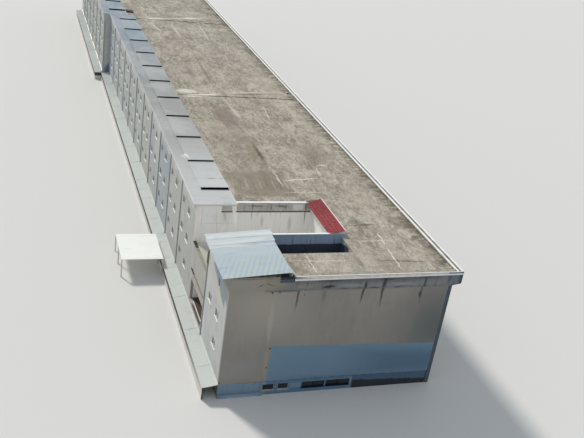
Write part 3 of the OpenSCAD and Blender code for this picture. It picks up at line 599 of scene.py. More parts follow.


# Glass-fibre sheet on the stair block: pale blue and chalked. The far courses are whiter; over
# the near ones the corrugation's light and shade is painted on as slanting pale blue and straw
# coloured fringes, sine(direction . place)
def fibreSheet():
    surface, tree, shader, spot = startSurface("pale blue corrugated sheet", Roughness=0.5)
    colour = layOver(tree, "#cad4d5", "#d3dcdc", cloud(tree, spot, 300, (3, 1, 1), 0.42, 0.62), 0.7)
    lean = addNode(tree, "VectorMath",
                   {"operation": "DOT_PRODUCT", 1: (128.0, -54.0, 0.0)},
                   {0: waver(tree, spot, 160, 9)})
    wave = addNode(tree, "Math", {"operation": "SINE"}, {0: lean.outputs["Value"]})
    near = ramp(tree, waver(tree, spot, 120, 60), 1, 430, 180)
    for crest, tone in ((1.0, "#a9c6dd"), (-1.0, "#dcd8ba")):
        part = addNode(tree, "MapRange", {"From Max": crest}, {0: wave.outputs[0]})
        seen = addNode(tree, "Math", {"operation": "MULTIPLY"},
                       {0: part.outputs[0], 1: near})
        colour = layOver(tree, colour, tone, seen.outputs[0], 0.5)
    colour = layMarks(tree, spot, colour, (0, 1), [
        ("band", (-200, 665), (700, 665), 320, 0.85, "#e6e9e5", 0.75),
        ("band", (-200, 735), (700, 735), 70, 0.7, "#f0f2ef", 0.8),
        ("band", (-200, 600), (560, 625), 46, 0.5, "#eceeec", 0.6),
        ("band", (150, 560), (700, 560), 70, 0.3, "#b3b8cc", 0.5),
        ("band", (560, 100), (545, 560), 60, 0.4, "#d3dad8", 0.6)])
    dust = cloud(tree, spot, 60, (4, 1, 1), 0.5, 0.75, 6)
    colour = layOver(tree, colour, "#9aa5a8", dust, 0.3)
    finishSurface(tree, shader, colour, (0.4, 0.65), dust, dust, 0.1)
    return surface


# Float glass before dark rooms: smooth and mirroring where clean, dull in its dusty patches
def roomGlass(name, base, pale, dusty, rough):
    surface, tree, shader, spot = startSurface(name, Roughness=0.08, IOR=1.52)
    colour = layOver(tree, base, pale, cloud(tree, spot, 150, low=0.4, high=0.7), 0.8)
    dust = cloud(tree, spot, 40, low=0.5, high=0.8, detail=6)
    colour = layOver(tree, colour, dusty, dust, 0.3)
    finishSurface(tree, shader, colour, rough, dust)
    return surface


# Fired clay tiles: brick red, each tile a little off its neighbour, painted shade in the troughs
# and at the course laps
def firedTile():
    surface, tree, shader, spot = startSurface("fired clay tile", Roughness=0.75)
    cells = addNode(tree, "TexVoronoi", {"Scale": 38.0, "Randomness": 0.4},
                    {"Vector": spot})
    tone = addNode(tree, "SeparateColor", links={0: cells.outputs["Color"]})
    colour = layOver(tree, "#a02f38", "#c4605f", tone.outputs[0], 0.7)
    uneven = waver(tree, spot, 30, 3)
    # Dark lines in the troughs and at the course laps: painted shade
    for axis, start, pitch in ((0, 1170, 36), (1, 790, 22.4)):
        trough = lineMask(tree, uneven, axis, start, pitch, 6)
        colour = layOver(tree, colour, "#5c1c22", trough, 0.55)
    soot = cloud(tree, spot, 45, low=0.5, high=0.75, detail=6)
    colour = layOver(tree, colour, "#6a262a", soot, 0.5)
    bloom = cloud(tree, spot, 18, low=0.57, high=0.7, shift=3)
    colour = layOver(tree, colour, "#c98f87", bloom, 0.3)
    finishSurface(tree, shader, colour, (0.6, 0.85), soot, soot, 0.3)
    return surface


# Sawn roofing timber: dark, grey on the outside, with long grain along Y
def sawnTimber():
    surface, tree, shader, spot = startSurface("sawn roofing timber", Roughness=0.85)
    grain = cloud(tree, spot, 6, (1, 22, 1), 0.35, 0.7, 5)
    colour = layOver(tree, "#3f352b", "#57493b", grain, 0.8)
    colour = layOver(tree, colour, "#5f5a52", cloud(tree, spot, 80, (1, 3, 1), 0.45, 0.7), 0.4)
    finishSurface(tree, shader, colour, (0.75, 0.95), grain, grain, 0.3)
    return surface


stairSheet, tileClay, timber = fibreSheet(), firedTile(), sawnTimber()

# Basement panes mirror a little; skylight panes are near black and barely mirror, as painted shade
# in the openings; the other panes are pale with dust and a painted sky reflection
darkGlass = roomGlass("dark window glass", "#14181b", "#2b3236", "#4a4e4e", (0.06, 0.3))
darkSkylightGlass = roomGlass("near-black skylight glass, painted shade", "#04070c", "#0a121c", "#131b26", (0.6, 0.8))
dustAndSkyGlass = roomGlass("dusty window glass with painted sky reflection", "#858b8c", "#92989a", "#9fa19c", (0.3, 0.5))

# Gloss gone dull outdoors: pipes and frames grey, the hatch nearly black, and the navy of the
# skylight bars and wide basement frames is painted shade
pipePaint = paintedMetal("grey painted pipe", "#abaea9", "#9a8f7d")
olivePaint = paintedMetal("olive painted hopper", "#77745f", "#5d5644")
framePaint = paintedMetal("window frame paint", "#a9aba6", "#8b8a85", chips=0.3)
postPaint = paintedMetal("post paint", "#c4c3bc", "#84715c")
hatchPaint = paintedMetal("black hatch paint", "#0c0d10", "#24231f", (0.8, 0.95))
navyPaint = paintedMetal("navy skylight paint", "#0b1624", "#1c2835", (0.8, 0.95), 0.3)
rustyIron = paintedMetal("rusty iron", "#5b4636", "#8a5a38", (0.7, 0.9), 0.8)
for surface, socket, value in ((marble, "Coat Weight", 0.2),
                               (darkSkylightGlass, "Specular IOR Level", 0.1),
                               (navyPaint, "Specular IOR Level", 0.15)):
    surface.node_tree.nodes["Principled BSDF"].inputs[socket].default_value = value
print("surfaces made:", len(bpy.data.materials))

nodeSurfaces = {
    "basement_floor": floorConcrete, "ground_floor": brownFloor,
    "first_floor": floorConcrete, "second_floor": terraceFloor,
    "near_plinth": plinthRender, "basement_walls": basementRender, "near_wall": nearRender,
    "stair_yard_wall": stairRender, "loading_bay_wall": loadingRender,
    "loading_recess_walls": recessRender, "main_yard_wall": yardRender,
    "wing_yard_wall": yardRender, "wing_end_wall": wingEndRender, "street_wall": streetRender,
    "far_wall": endRender, "terrace_far_wall": terraceRender,
    "terrace_east_wall": terraceRender, "terrace_near_wall": wellRender,
    "light_well_walls": wellSideRender, "near_roof_slab": roofConcrete,
    "main_roof_slab": roofConcrete, "wing_roof_slab": roofConcrete,
    "end_edge_beams": fasciaConcrete, "street_edge_beam": streetKerb,
    "yard_edge_beam": stairRender, "street_piers": pierConcrete,
    "main_yard_windows": dustAndSkyGlass, "wing_yard_windows": dustAndSkyGlass,
    "street_windows": dustAndSkyGlass, "basement_windows": darkGlass, "window_sills": marble,
    "rainwater_pipes": pipePaint, "yard_roof_sheets": roofSteel, "roof_lights": roofSteel,
    "roof_light_glazing": darkSkylightGlass, "stair_roof_sheets": stairSheet,
    "stair_roof_purlins": timber, "tile_strip": tileClay, "tile_strip_bearer": terraceRender,
    "lean_to_roof": leanSteel, "lean_to_wall": lowRender, "shelter_posts": postPaint,
    "shelter_roof": whiteSteel, "roof_joint_kerbs": kerbConcrete, "roof_hatch": hatchPaint,
}
for nodeName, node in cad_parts.items():
    node.data.materials.clear()
    node.data.materials.append(nodeSurfaces[nodeName])


# Shapes: each is an array of points with its faces

# Points from x, y and z, each one number or an array of them
def joined(x, y, z):
    return np.stack(np.broadcast_arrays(x, y, z), -1).astype(float)


# Faces of a rows by columns grid of points; the columns may close into a ring
def gridFaces(rows, columns, ring=False):
    i, j = np.meshgrid(np.arange(rows - 1), np.arange(columns - (0 if ring else 1)), indexing="ij")
    k = (j + 1) % columns
    return np.stack([i * columns + j, (i + 1) * columns + j, (i + 1) * columns + k,
                     i * columns + k], -1).reshape(-1, 4)


# A sheet: the top points, the same points lower by thick, joined round the edge and capped
def thinSheet(top, thick):
    rows, columns = top.shape[:2]
    ring = np.concatenate([top, top[:, ::-1] - [0, 0, thick]], 1)
    faces = gridFaces(rows, 2 * columns, True).tolist()
    last = (rows - 1) * 2 * columns
    faces.append(list(range(2 * columns)))
    faces.append([last + k for k in range(2 * columns)][::-1])
    return ring.reshape(-1, 3), faces


# Boxes from arrays of low and high corners
def boxes(low, high):
    low, high = np.atleast_2d(low).astype(float), np.atleast_2d(high).astype(float)
    pick = np.array([[x, y, z] for z in (0, 1) for y in (0, 1) for x in (0, 1)])
    points = np.where(pick[None], high[:, None], low[:, None])
    sides = np.array([[0, 2, 3, 1], [4, 5, 7, 6], [0, 1, 5, 4], [2, 6, 7, 3], [0, 4, 6, 2],
                      [1, 3, 7, 5]])
    faces = sides[None] + 8 * np.arange(len(low))[:, None, None]
    return points.reshape(-1, 3), faces.reshape(-1, 4).tolist()


# A closed profile carried straight from each start to each end: across and up are the
# directions of the profile's two numbers
def carried(profile, starts, ends, across, up):
    profile = np.asarray(profile, float)
    ends = np.stack([np.atleast_2d(starts), np.atleast_2d(ends)], 1).astype(float)
    flat = profile[:, :1] * np.asarray(across, float) + profile[:, 1:] * np.asarray(up, float)
    points = ends[:, :, None] + flat[None, None]
    count, sides = len(ends), len(profile)
    ring = gridFaces(2, sides, True)
    faces = (ring[None] + 2 * sides * np.arange(count)[:, None, None]).reshape(-1, 4).tolist()
    caps = np.stack([np.arange(sides)[::-1], sides + np.arange(sides)])
    faces += (caps[None] + 2 * sides * np.arange(count)[:, None, None]).reshape(-1, sides).tolist()
    return points.reshape(-1, 3), faces


def addObject(name, data):  # at the origin, unturned
    thing = bpy.data.objects.new(name, data)
    bpy.context.scene.collection.objects.link(thing)
    return thing


# Joins shapes into one object, in metres, with its faces turned outwards
def makePiece(name, shapes, surface, replaced=(), bevel=0.0):
    points, faces, first = [], [], 0
    for shapePoints, shapeFaces in shapes:
        points.append(shapePoints)
        faces += [[first + k for k in face] for face in shapeFaces]
        first += len(shapePoints)
    mesh = bpy.data.meshes.new(name)
    mesh.from_pydata(toScene(np.concatenate(points)).tolist(), [], faces)
    mesh.materials.append(surface)
    piece = addObject(name, mesh)
    bpy.context.view_layer.objects.active = piece
    piece.select_set(True)
    bpy.ops.object.mode_set(mode="EDIT")
    bpy.ops.mesh.select_all(action="SELECT")
    bpy.ops.mesh.normals_make_consistent(inside=False)
    bpy.ops.object.mode_set(mode="OBJECT")
    piece.select_set(False)
    if bevel:
        edge = piece.modifiers.new("worn edges", "BEVEL")
        edge.width, edge.segments, edge.limit_method = bevel * 0.001, 2, "ANGLE"
    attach(piece, "root")
    if replaced:
        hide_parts(*replaced)
    return piece


# Windows: a frame on each pane with a middle post; first and second are the centres in a bay
windows = {"first": 315, "second": 608, "width": 115, "height": 80, "sill": 158, "set": 10,
           "bar": 4.5, "post": 3.5, "proud": 3.0, "bed": 0.3}


def windowPlaces(bays, lone=False):
    # Centre along Y and sill level; lone leaves the second column its middle window only
    start, column, floor = np.meshgrid(np.asarray(bays) * bay,
                                       (windows["first"], windows["second"]),
                                       building["floors"], indexing="ij")
    keep = (column == windows["first"]) | (floor == building["floors"][1]) | (not lone)
    return (start + column)[keep], (floor + windows["sill"])[keep]


def windowFrames(places, outer, inward):  # outer is the wall face, inward +1 or -1 along X
    y, z = places
    half, post = windows["width"] / 2, windows["post"]
    tall, bar = windows["height"], windows["bar"]
    spans = [(-half, half, 0, bar), (-half, half, tall - bar, tall), (-half, bar - half, 0, tall),
             (half - bar, half, 0, tall), (-post / 2, post / 2, 0, tall)]
    face = outer + inward * (windows["set"] - windows["proud"])
    back = outer + inward * (windows["set"] + windows["bed"])
    lows, highs = [], []
    for y0, y1, z0, z1 in spans:
        lows.append(joined(min(face, back), y + y0, z + z0))
        highs.append(joined(max(face, back), y + y1, z + z1))
    return boxes(np.concatenate(lows), np.concatenate(highs))


mainBays = range(2, building["mainBays"])
wingBays = range(building["mainBays"], building["mainBays"] + building["wingBays"])
allBays = range(building["mainBays"] + building["wingBays"])
makePiece("yardWindowFrames", [windowFrames(windowPlaces(mainBays), 0, 1),
                               windowFrames(windowPlaces([0], True), 0, 1)],
          framePaint)
makePiece("wingWindowFrames", [windowFrames(windowPlaces(wingBays), wingX, 1)],
          framePaint)
makePiece("streetWindowFrames", [windowFrames(windowPlaces(allBays), building["width"], -1)],
          framePaint)

# Marble sills: sloped top, rounded nose and a drip groove below
sill = {"lap": 8, "profile": [(-3, -5), (5.4, -5), (5.9, -4.2), (6.4, -5), (8, -5), (8, -1.8),
                              (7.2, -0.8), (-3, 0)]}


def sillRun(bays, face, outward, top=math.inf):
    y, z = windowPlaces(bays, True)
    y, z = y[z < top], z[z < top]
    reach = windows["width"] / 2 + sill["lap"]
    start = joined(face, y - reach, z)
    return carried(sill["profile"], start, start + [0, 2 * reach, 0], (outward, 0, 0), (0, 0, 1))


makePiece("marbleSills", [sillRun([0], 0, -1, building["floors"][2]), sillRun(mainBays, 0, -1),
                          sillRun(wingBays, wingX, -1), sillRun(allBays, building["width"], 1)],
          marble, ("window_sills",))
print("windows dressed")


# Trapezoid ribs: level nought in the pan and one on the crest, four corners to each rib
ribCorners = np.array([0.0, 0.52, 0.62, 0.9])


def ribWave(start, end, pitch):
    count = max(1, round((end - start) / pitch))
    step = (end - start) / count
    run = (np.arange(count)[:, None] + ribCorners).reshape(-1) * step + start
    level = np.tile([0.0, 0.0, 1.0, 1.0], count)
    return np.append(run, end), np.append(level, 0.0)


# Ribbed sheet, ribs along X: z = plane from zStart to zEnd along Y, less depth in the pans and
# less fall at x0
def crossRibs(x0, x1, y0, y1, zStart, zEnd, pitch, depth, thick, fall=0.0):
    run, level = ribWave(y0, y1, pitch)
    z = zStart + (zEnd - zStart) * (run - y0) / (y1 - y0) - depth * (1 - level)
    top = joined(np.array([x0, x1]), run[:, None], z[:, None] - np.array([fall, 0.0]))
    return thinSheet(top, thick)


# Metal roof along the yard edge, with folded flashings
top = building["coping"]
strip = {"width": 415, "out": 35, "pitch": 20, "depth": 2.4, "thick": 0.9, "fold": 9, "hem": 16,
         "kerbSide": 28}
stripRuns = [(0, 2 * bay - strip["out"], mainLength - joint / 2),
             (wingX, mainLength + joint / 2, totalLength - building["kerb"] + building["proud"])]
stripSheets, stripEdges = [], []


def foldedEdge(side, drop):  # profile: a fold lying on the sheet, with a hem hanging from it
    fold, thick = side * strip["fold"], strip["thick"]
    return [(0, 0), (fold, 0), (fold, thick), (-side * thick, thick), (-side * thick, -drop),
            (0, -drop)]


hem, kerbSide = foldedEdge(1, strip["hem"]), foldedEdge(-1, strip["kerbSide"])
for shift, y0, y1 in stripRuns:
    x0, x1 = shift - strip["out"], shift + strip["width"]
    stripSheets.append(crossRibs(x0, x1, y0, y1, top, top, strip["pitch"], strip["depth"],
                                 strip["thick"]))
    stripEdges.append(carried(hem, (x0, y0, top), (x0, y1, top), (1, 0, 0), (0, 0, 1)))
    stripEdges.append(carried(kerbSide, (x1, y0, top), (x1, y1, top), (1, 0, 0), (0, 0, 1)))
    stripEdges.append(carried(hem, (x0, y0, top), (x1, y0, top), (0, 1, 0), (0, 0, 1)))
makePiece("yardRoofSheeting", stripSheets, roofSteel, ("yard_roof_sheets",))
makePiece("yardRoofFlashings", stripEdges, lidSteel)

# Roof lights: a ribbed lid that drops to the far end, with folded cheeks and glazing bars.
# The last of each block is shorter and ends with the block. Board, gutter and bar are y0, y1, z0
# and z1 from the lid's near edge and the coping
lids = {"x0": 104, "y0": 340, "width": 302, "rise": 25, "low": 5, "gap": 2, "lap": 2, "over": 6,
        "depth": 2.0, "foot": 4, "cheek": 3, "end": 2, "bars": 4, "board": (3.5, 6, 15, 23),
        "gutter": (-20, 3, -0.5, 0.9), "bar": (3.5, 5.5, 0, 16)}
lidPlaces = []
for x, first, last in ((lids["x0"], 2, building["mainBays"]),
                       (lids["x0"] + wingX, building["mainBays"], len(allBays) - 1)):
    for k in range(first, last):
        short = lids["y0"] if k == last - 1 else 0
        lidPlaces.append((x, k * bay + lids["y0"], bay - short - lids["gap"]))
lidSheets, lidBars = [], []
for x, y, run in lidPlaces:
    x1, foot = x + lids["width"], top - lids["foot"]
    lidSheets.append(crossRibs(x - lids["lap"], x1 + lids["lap"], y - lids["over"], y + run,
                               top + lids["rise"], top + lids["low"], strip["pitch"],
                               lids["depth"], strip["thick"]))
    nearTop, farTop = lids["rise"] - lids["depth"], lids["low"] - lids["depth"]
    cheek = [(0, -lids["foot"]), (run, -lids["foot"]), (run, farTop), (0, nearTop)]
    for side in (x, x1 - lids["cheek"]):
        lidSheets.append(carried(cheek, (side, y, top), (side + lids["cheek"], y, top),
                                 (0, 1, 0), (0, 0, 1)))
    lidSheets.append(boxes((x, y + run - lids["end"], foot), (x1, y + run, top + farTop)))
    for y0, y1, z0, z1 in (lids["board"], lids["gutter"]):
        lidBars.append(boxes((x + 1, y + y0, top + z0), (x1 - 1, y + y1, top + z1)))
    across = x + lids["width"] * np.arange(1, lids["bars"]) / lids["bars"]
    y0, y1, z0, z1 = lids["bar"]
    lidBars.append(boxes(joined(across - 1, y + y0, top + z0),
                         joined(across + 1, y + y1, top + z1)))
makePiece("roofLightLids", lidSheets, roofSteel, ("roof_lights",))
# Boards, gutter strips and glazing bars navy black: painted shade in and before each opening, the
# gutter strips also dirt
makePiece("roofLightBars", lidBars, navyPaint)

# Small square lid over the roof hatch
hatch = {"low": (297, 10077, 1260), "high": (443, 10233, 1266)}
makePiece("hatchLid", [boxes(hatch["low"], hatch["high"])], hatchPaint, bevel=1.5)
print("yard side roof dressed")

# Stair block roof: three courses of corrugated sheet, each lapped over the one before it.
# Height = foot + slope . x + a cosine of depth along Y, 92 mm crest to crest at full size.
# A course is y0, y1, what it stands back at x0, its lift and how far it runs past x1
stair = {"x0": -78, "x1": 545, "foot": 1274.3, "rise": 46, "pitch": 9.2, "depth": 1.3,
         "thick": 0.9, "sides": 8, "courses": ((-16, 590, 0, 0.0, -4), (575, 702, 0, 1.3, 8),
                                               (688, 803, 10, 2.6, 20))}


def corrugated(y0, y1, reach, lift, right):
    waves = round((y1 - y0) / stair["pitch"])
    y = np.linspace(y0, y1, waves * stair["sides"] + 1)
    wave = stair["depth"] * np.cos(2 * math.pi * waves * (y - y0) / (y1 - y0))
    x = np.array([stair["x0"] + reach, stair["x1"] + right], float)
    slope = stair["rise"] / (stair["x1"] - stair["x0"])
    z = stair["foot"] + lift + slope * (x - stair["x0"])[None] + wave[:, None]
    return thinSheet(joined(x, y[:, None], z), stair["thick"])


makePiece("stairRoofSheeting", [corrugated(*course) for course in stair["courses"]], stairSheet,
          ("stair_roof_sheets",))

# A folded apron from the sheets' street side corner down to the kerb: its profile and its ends
apron = {"y0": -10, "y1": 120,
         "fold": [(537, 1318), (537, 1316), (588, 1270), (591, 1270.5), (540, 1319)]}
makePiece("stairRoofApron", [
    carried(apron["fold"], (0, apron["y0"], 0), (0, apron["y1"], 0), (1, 0, 0), (0, 0, 1)),
], leanSteel)

# The gap below it: a black board, a dark bar before it and a ledge under that, all painted shade of
# the gap, by their corners
gap = {"board": ((440, 1, 1240), (577, 4, 1269)), "bar": ((443, -3, 1255), (566, 1, 1259)),
       "ledge": ((443, -6.2, 1214), (577, -3, 1240))}
makePiece("recessBoard", [boxes(*gap["board"])], hatchPaint)
makePiece("recessBar", [boxes(*gap["bar"]), boxes(*gap["ledge"])], pierConcrete)

# White cap strips along both edges of the coping kerb, with a bare channel between them. The
# near edge has a flat strip on top, and low on its face a splayed drip that climbs a little
caps = {"wide": 17, "thick": 1.4, "drop": 10, "gapEnd": 577, "flatEnd": 569, "flat": 9,
        "splay": [(0, 3), (9, 3), (9, 4.5), (0, 14.5)], "splayStart": 1230, "splayEnd": 1242}


def capStrip(start, end, outward):  # outward is the plan direction in which the drip hangs
    t, w, d = caps["thick"], caps["wide"], caps["drop"]
    edge = [(t, t), (-w, t), (-w, 0), (0, 0), (0, -d), (t, -d)]
    return carried(edge, start, end, outward, (0, 0, 1))


far, kerbIn = totalLength + building["proud"], building["kerb"] - building["proud"]
inner, nearOut, farIn = streetEdge - building["kerb"], -building["proud"], totalLength - kerbIn
makePiece("copingCaps", [
    capStrip((streetEdge, nearOut, top), (streetEdge, far, top), (1, 0, 0)),
    capStrip((inner, 0, top), (inner, farIn, top), (-1, 0, 0)),
    carried(caps["splay"], (caps["gapEnd"], nearOut, caps["splayStart"]),
            (streetEdge + caps["thick"], nearOut, caps["splayEnd"]), (0, -1, 0), (0, 0, 1)),
    boxes((caps["flatEnd"], nearOut, top - 0.5),
          (streetEdge - 4, nearOut + caps["flat"], top + caps["thick"])),
    capStrip((wingX, far, top), (streetEdge, far, top), (0, 1, 0)),
    capStrip((wingX, farIn, top), (inner, farIn, top), (0, -1, 0)),
], limeWash)

# Terrace: white wall caps, a stained beam over the far wall, moss-stained kerb and slot foot
terrace = {"wallY": 790, "farY": 1500, "x1": 1230, "screen": 20, "cap": 4, "lap": 3, "capOver": 33,
           "nearCapX0": 560, "farCapX0": 415, "wellX1": 1310, "beamLow": 1178, "beamOut": 7,
           "beamX0": 268, "slotTurn": (378, 416), "slotHigh": 14, "kerbTop": 835, "kerbWide": 30,
           "slotFoot": 521, "slotIn": 31, "capRise": 1.5, "doorEnd": 1348, "doorTop": 206.5,
           "doorRise": 3.5}
t = terrace
capTop, slotY0 = top + t["cap"], t["wallY"] + t["screen"] + t["slotIn"]
makePiece("terraceCaps", [
    boxes((t["nearCapX0"], t["wallY"] - t["lap"], top),
          (t["wellX1"] + t["capOver"], t["wallY"] + t["screen"] + t["lap"], capTop)),
    boxes((t["farCapX0"], t["farY"] - t["lap"], top),
          (t["x1"], t["farY"] + t["capOver"], capTop)),
    boxes((t["x1"] - t["lap"], t["wallY"] + t["screen"], top),
          (t["x1"] + t["screen"], t["farY"] + t["capOver"], capTop)),
], limeWash, bevel=1.0)
makePiece("terraceBeam", [
    boxes((t["beamX0"], t["farY"] - t["beamOut"], t["beamLow"]), (t["x1"], t["farY"] + 2, top)),
], beamConcrete, bevel=1.5)
# A black strip in the slot under the beam: painted shade
makePiece("terraceSlot", [
    boxes(joined([t["beamX0"] - 6, t["slotTurn"][1]], t["farY"] - 1.2,
                 t["beamLow"] - t["slotHigh"]),
          joined([t["slotTurn"][0], t["x1"] - 1], t["farY"] + 2, t["beamLow"] + 1)),
], hatchPaint)
makePiece("loadingBayCappings", [
    boxes((-1, t["wallY"] + t["screen"] + 1, t["kerbTop"] - 1),
          (t["kerbWide"] + 1, t["farY"] - 1, t["kerbTop"] + t["capRise"])),
    boxes((1, slotY0, t["slotFoot"] - 1),
          (t["kerbWide"] - 1, t["farY"] - t["slotIn"], t["slotFoot"] + t["capRise"])),
], mossAndShadeMortar)
makePiece("loadingThreshold", [
    boxes((22, slotY0, t["doorTop"] - t["doorRise"]),
          (t["kerbWide"] + 3, t["doorEnd"], t["doorTop"])),
], mortar, bevel=1.0)

# Red tile strip: rolls along Y and lapped courses up the slope, bedded in pale mortar
tiles = {"x0": 1170, "y0": 790, "y1": 1530, "width": 180, "rise": 31, "base": 1266, "pitch": 22,
         "roll": 3.6, "course": 36, "step": 2.8, "thick": 3.0, "bed": 9, "bedX0": 1210,
         "bedLow": (1272, 1277), "bedHigh": (1295, 1305)}


def tileRows():
    # Height = slope + roll of a rounded wave along Y + a saw that climbs over each course
    rolls = round((tiles["y1"] - tiles["y0"]) / tiles["pitch"])
    y = np.linspace(tiles["y0"], tiles["y1"], rolls * 10 + 1)
    wave = np.cos(2 * math.pi * (y - tiles["y0"]) * rolls / (tiles["y1"] - tiles["y0"]))
    roll = tiles["roll"] * np.where(wave > 0, wave ** 0.6, -0.55 * np.abs(wave))
    courses = round(tiles["width"] / tiles["course"])
    at = np.arange(courses)[:, None] + np.array([0.0, 0.06, 0.5, 0.97])
    saw = np.tile([0.0, 1.0, 0.55, 0.1], courses) * tiles["step"]
    x = np.append(at.reshape(-1), courses) / courses * tiles["width"]
    saw = np.append(saw, 0.0)
    z = tiles["base"] + 4 + x[None] * tiles["rise"] / tiles["width"] + roll[:, None] + saw[None]
    return thinSheet(joined(tiles["x0"] + x, y[:, None], z), tiles["thick"])


makePiece("redTileRows", [tileRows()], tileClay, ("tile_strip",))
bedX = np.array([tiles["bedX0"], tiles["x0"] + tiles["width"] - tiles["bed"]])
bedZ = np.array([tiles["bedLow"], tiles["bedHigh"]])
makePiece("tileBedding", [
    boxes(joined(bedX, tiles["y0"], bedZ[:, 0]),
          joined(bedX + tiles["bed"], tiles["y1"], bedZ[:, 1])),
], mortar, bevel=1.5)
print("coping, terrace and tiles dressed")

# Lean-to: ribbed sheets down the slope, a folded edge, wall flashing and rafters
lean = {"high": 156, "width": 144, "fall": 23, "slope": 0.16, "pitch": 15, "depth": 1.0,
        "thick": 0.9, "hem": 8, "rafter": 5, "rafterLow": -9.5, "rafterTop": -4.3,
        "rafterFoot": 16, "spacing": bay / 2, "seam": 620}
leanSheets, leanTrims, rafters = [], [], []
fold = [(0, 0.2), (4, 0.2), (4, 1.6), (0, 1.6)]
section = [(0, lean["rafterLow"]), (lean["rafter"], lean["rafterLow"]),
           (lean["rafter"], lean["rafterTop"]), (0, lean["rafterTop"])]
hemDrop, fine, lift = -lean["hem"], lean["thick"], lean["hem"] * lean["slope"]
trim = [(0, fine), (0, hemDrop), (-fine, hemDrop), (-fine, 2 * fine),
        (lean["hem"], 2 * fine + lift), (lean["hem"], fine + lift)]
for shift, y0, y1 in ((0, 0, mainLength - joint), (wingX, mainLength + joint, totalLength)):
    outer, high = shift - lean["width"], lean["high"]
    leanSheets.append(crossRibs(outer, shift, y0, y1, high, high, lean["pitch"], lean["depth"],
                                lean["thick"], lean["fall"]))
    low = high - lean["fall"]
    leanTrims.append(carried(trim, (outer, y0, low), (outer, y1, low), (1, 0, 0), (0, 0, 1)))
    seams = np.arange(y0 + lean["seam"] / 2, y1 - 9, lean["seam"])
    leanTrims.append(carried(fold, joined(outer, seams, low), joined(shift - 1, seams, high),
                             (0, 1, 0), (0, 0, 1)))
    spots = np.arange(y0 + 3, y1 - 12, lean["spacing"])
    rafters.append(carried(section, joined(outer + lean["rafterFoot"], spots, low + 2.6),
                           joined(shift, spots, high), (0, 1, 0), (0, 0, 1)))
makePiece("leanToSheeting", leanSheets, leanSteel, ("lean_to_roof",))
makePiece("leanToTrims", leanTrims, leanSteel)
makePiece("leanToRafters", rafters, postPaint)


def flashing(x, y0, y1):  # a strip up the wall, bent out over the sheets
    flash = [(0, 12), (-0.9, 12), (-0.9, 1.4), (-10, -0.4), (-10, -1.3), (0, 0)]
    return carried(flash, (x, y0, lean["high"]), (x, y1, lean["high"]), (1, 0, 0), (0, 0, 1))


makePiece("mainWallFlashing", [flashing(0, 0, mainLength - joint)], leanSteel)
makePiece("wingWallFlashing", [flashing(wingX, mainLength + joint, totalLength)], whiteSteel)

# Open shelter: white ribbed roof on a light frame
shelter = {"x0": -614, "x1": -144, "y0": 2235, "y1": 2850, "top": 225, "pitch": 20, "depth": 2.0,
           "thick": 0.9, "bar": 6, "bars": 6, "barLow": -8.5, "barTop": -3.6}
s = shelter
frameLow, frameHigh = s["top"] + s["barLow"], s["top"] + s["barTop"]
endY = np.array([s["y0"], s["y1"] - s["bar"]])
ribX = np.linspace(s["x0"], s["x1"] - s["bar"], s["bars"])
shelterBars = [boxes(joined(s["x0"], endY, frameLow), joined(s["x1"], endY + s["bar"], frameHigh)),
               boxes(joined(ribX, s["y0"], frameLow), joined(ribX + s["bar"], s["y1"], frameHigh))]
makePiece("shelterSheeting", [crossRibs(s["x0"], s["x1"], s["y0"], s["y1"], s["top"], s["top"],
                                        s["pitch"], s["depth"], s["thick"])],
          whiteSteel, ("shelter_roof",))
makePiece("shelterFrame", shelterBars, postPaint)

# Pipe clips and a hopper under each roof edge; the stair block's pipe has a long olive hopper.
# Out and back are reckoned from the pipe's middle, half is half the width along the wall
pipes = {"d": 12, "back": 6.5, "clips": (300, 500, 700, 900, 1100), "clip": 2.5, "clipOut": 7.5,
         "clipHalf": 8, "hopperHalf": 12, "hopper": (1228, 1252), "stairY": 810, "stairClips": 3,
         "stairOut": 16, "stairHalf": 10, "stairHopper": (965, 1100)}
mainPipes = np.arange(3, len(allBays))
inWing = mainPipes >= building["mainBays"]
pipeX = np.where(inWing, wingX, 0) - pipes["d"] / 2
pipeY = mainPipes * bay + np.where(mainPipes == building["mainBays"], pipes["d"], 0)


def clipSpans(x, y, levels):  # a clip round each pipe at each level
    x, y, z = x[:, None], y[:, None], np.array(levels)
    return boxes(joined(x - pipes["clipOut"], y - pipes["clipHalf"], z).reshape(-1, 3),
                 joined(x + pipes["back"], y + pipes["clipHalf"],
                        z + pipes["clip"]).reshape(-1, 3))


makePiece("pipeClips", [
    clipSpans(pipeX, pipeY, pipes["clips"]),
    clipSpans(np.array([-pipes["d"] / 2]), np.array([pipes["stairY"]]),
              pipes["clips"][:pipes["stairClips"]]),
], pipePaint)
makePiece("pipeHoppers", [
    boxes(joined(pipeX - pipes["hopperHalf"], pipeY - pipes["hopperHalf"], pipes["hopper"][0]),
          joined(pipeX + pipes["back"], pipeY + pipes["hopperHalf"], pipes["hopper"][1])),
], pipePaint, bevel=2.0)
makePiece("stairPipeHopper", [
    boxes((-pipes["stairOut"], pipes["stairY"] - pipes["stairHalf"], pipes["stairHopper"][0]),
          (0.5, pipes["stairY"] + pipes["stairHalf"], pipes["stairHopper"][1])),
], olivePaint, bevel=2.5)

# Basement windows on thin sills: two single ones with pale frames, two wide ones with navy
# frames as painted shade and a middle post. A span is the start and the width along X
lowWindows = {"single": ((427, 121), (579, 110)), "wide": ((818, 229), (1060, 245)), "foot": 48,
              "height": 66, "face": 12, "deep": 3.4, "bar": 6, "lap": 6, "sill": 5, "nose": 2}


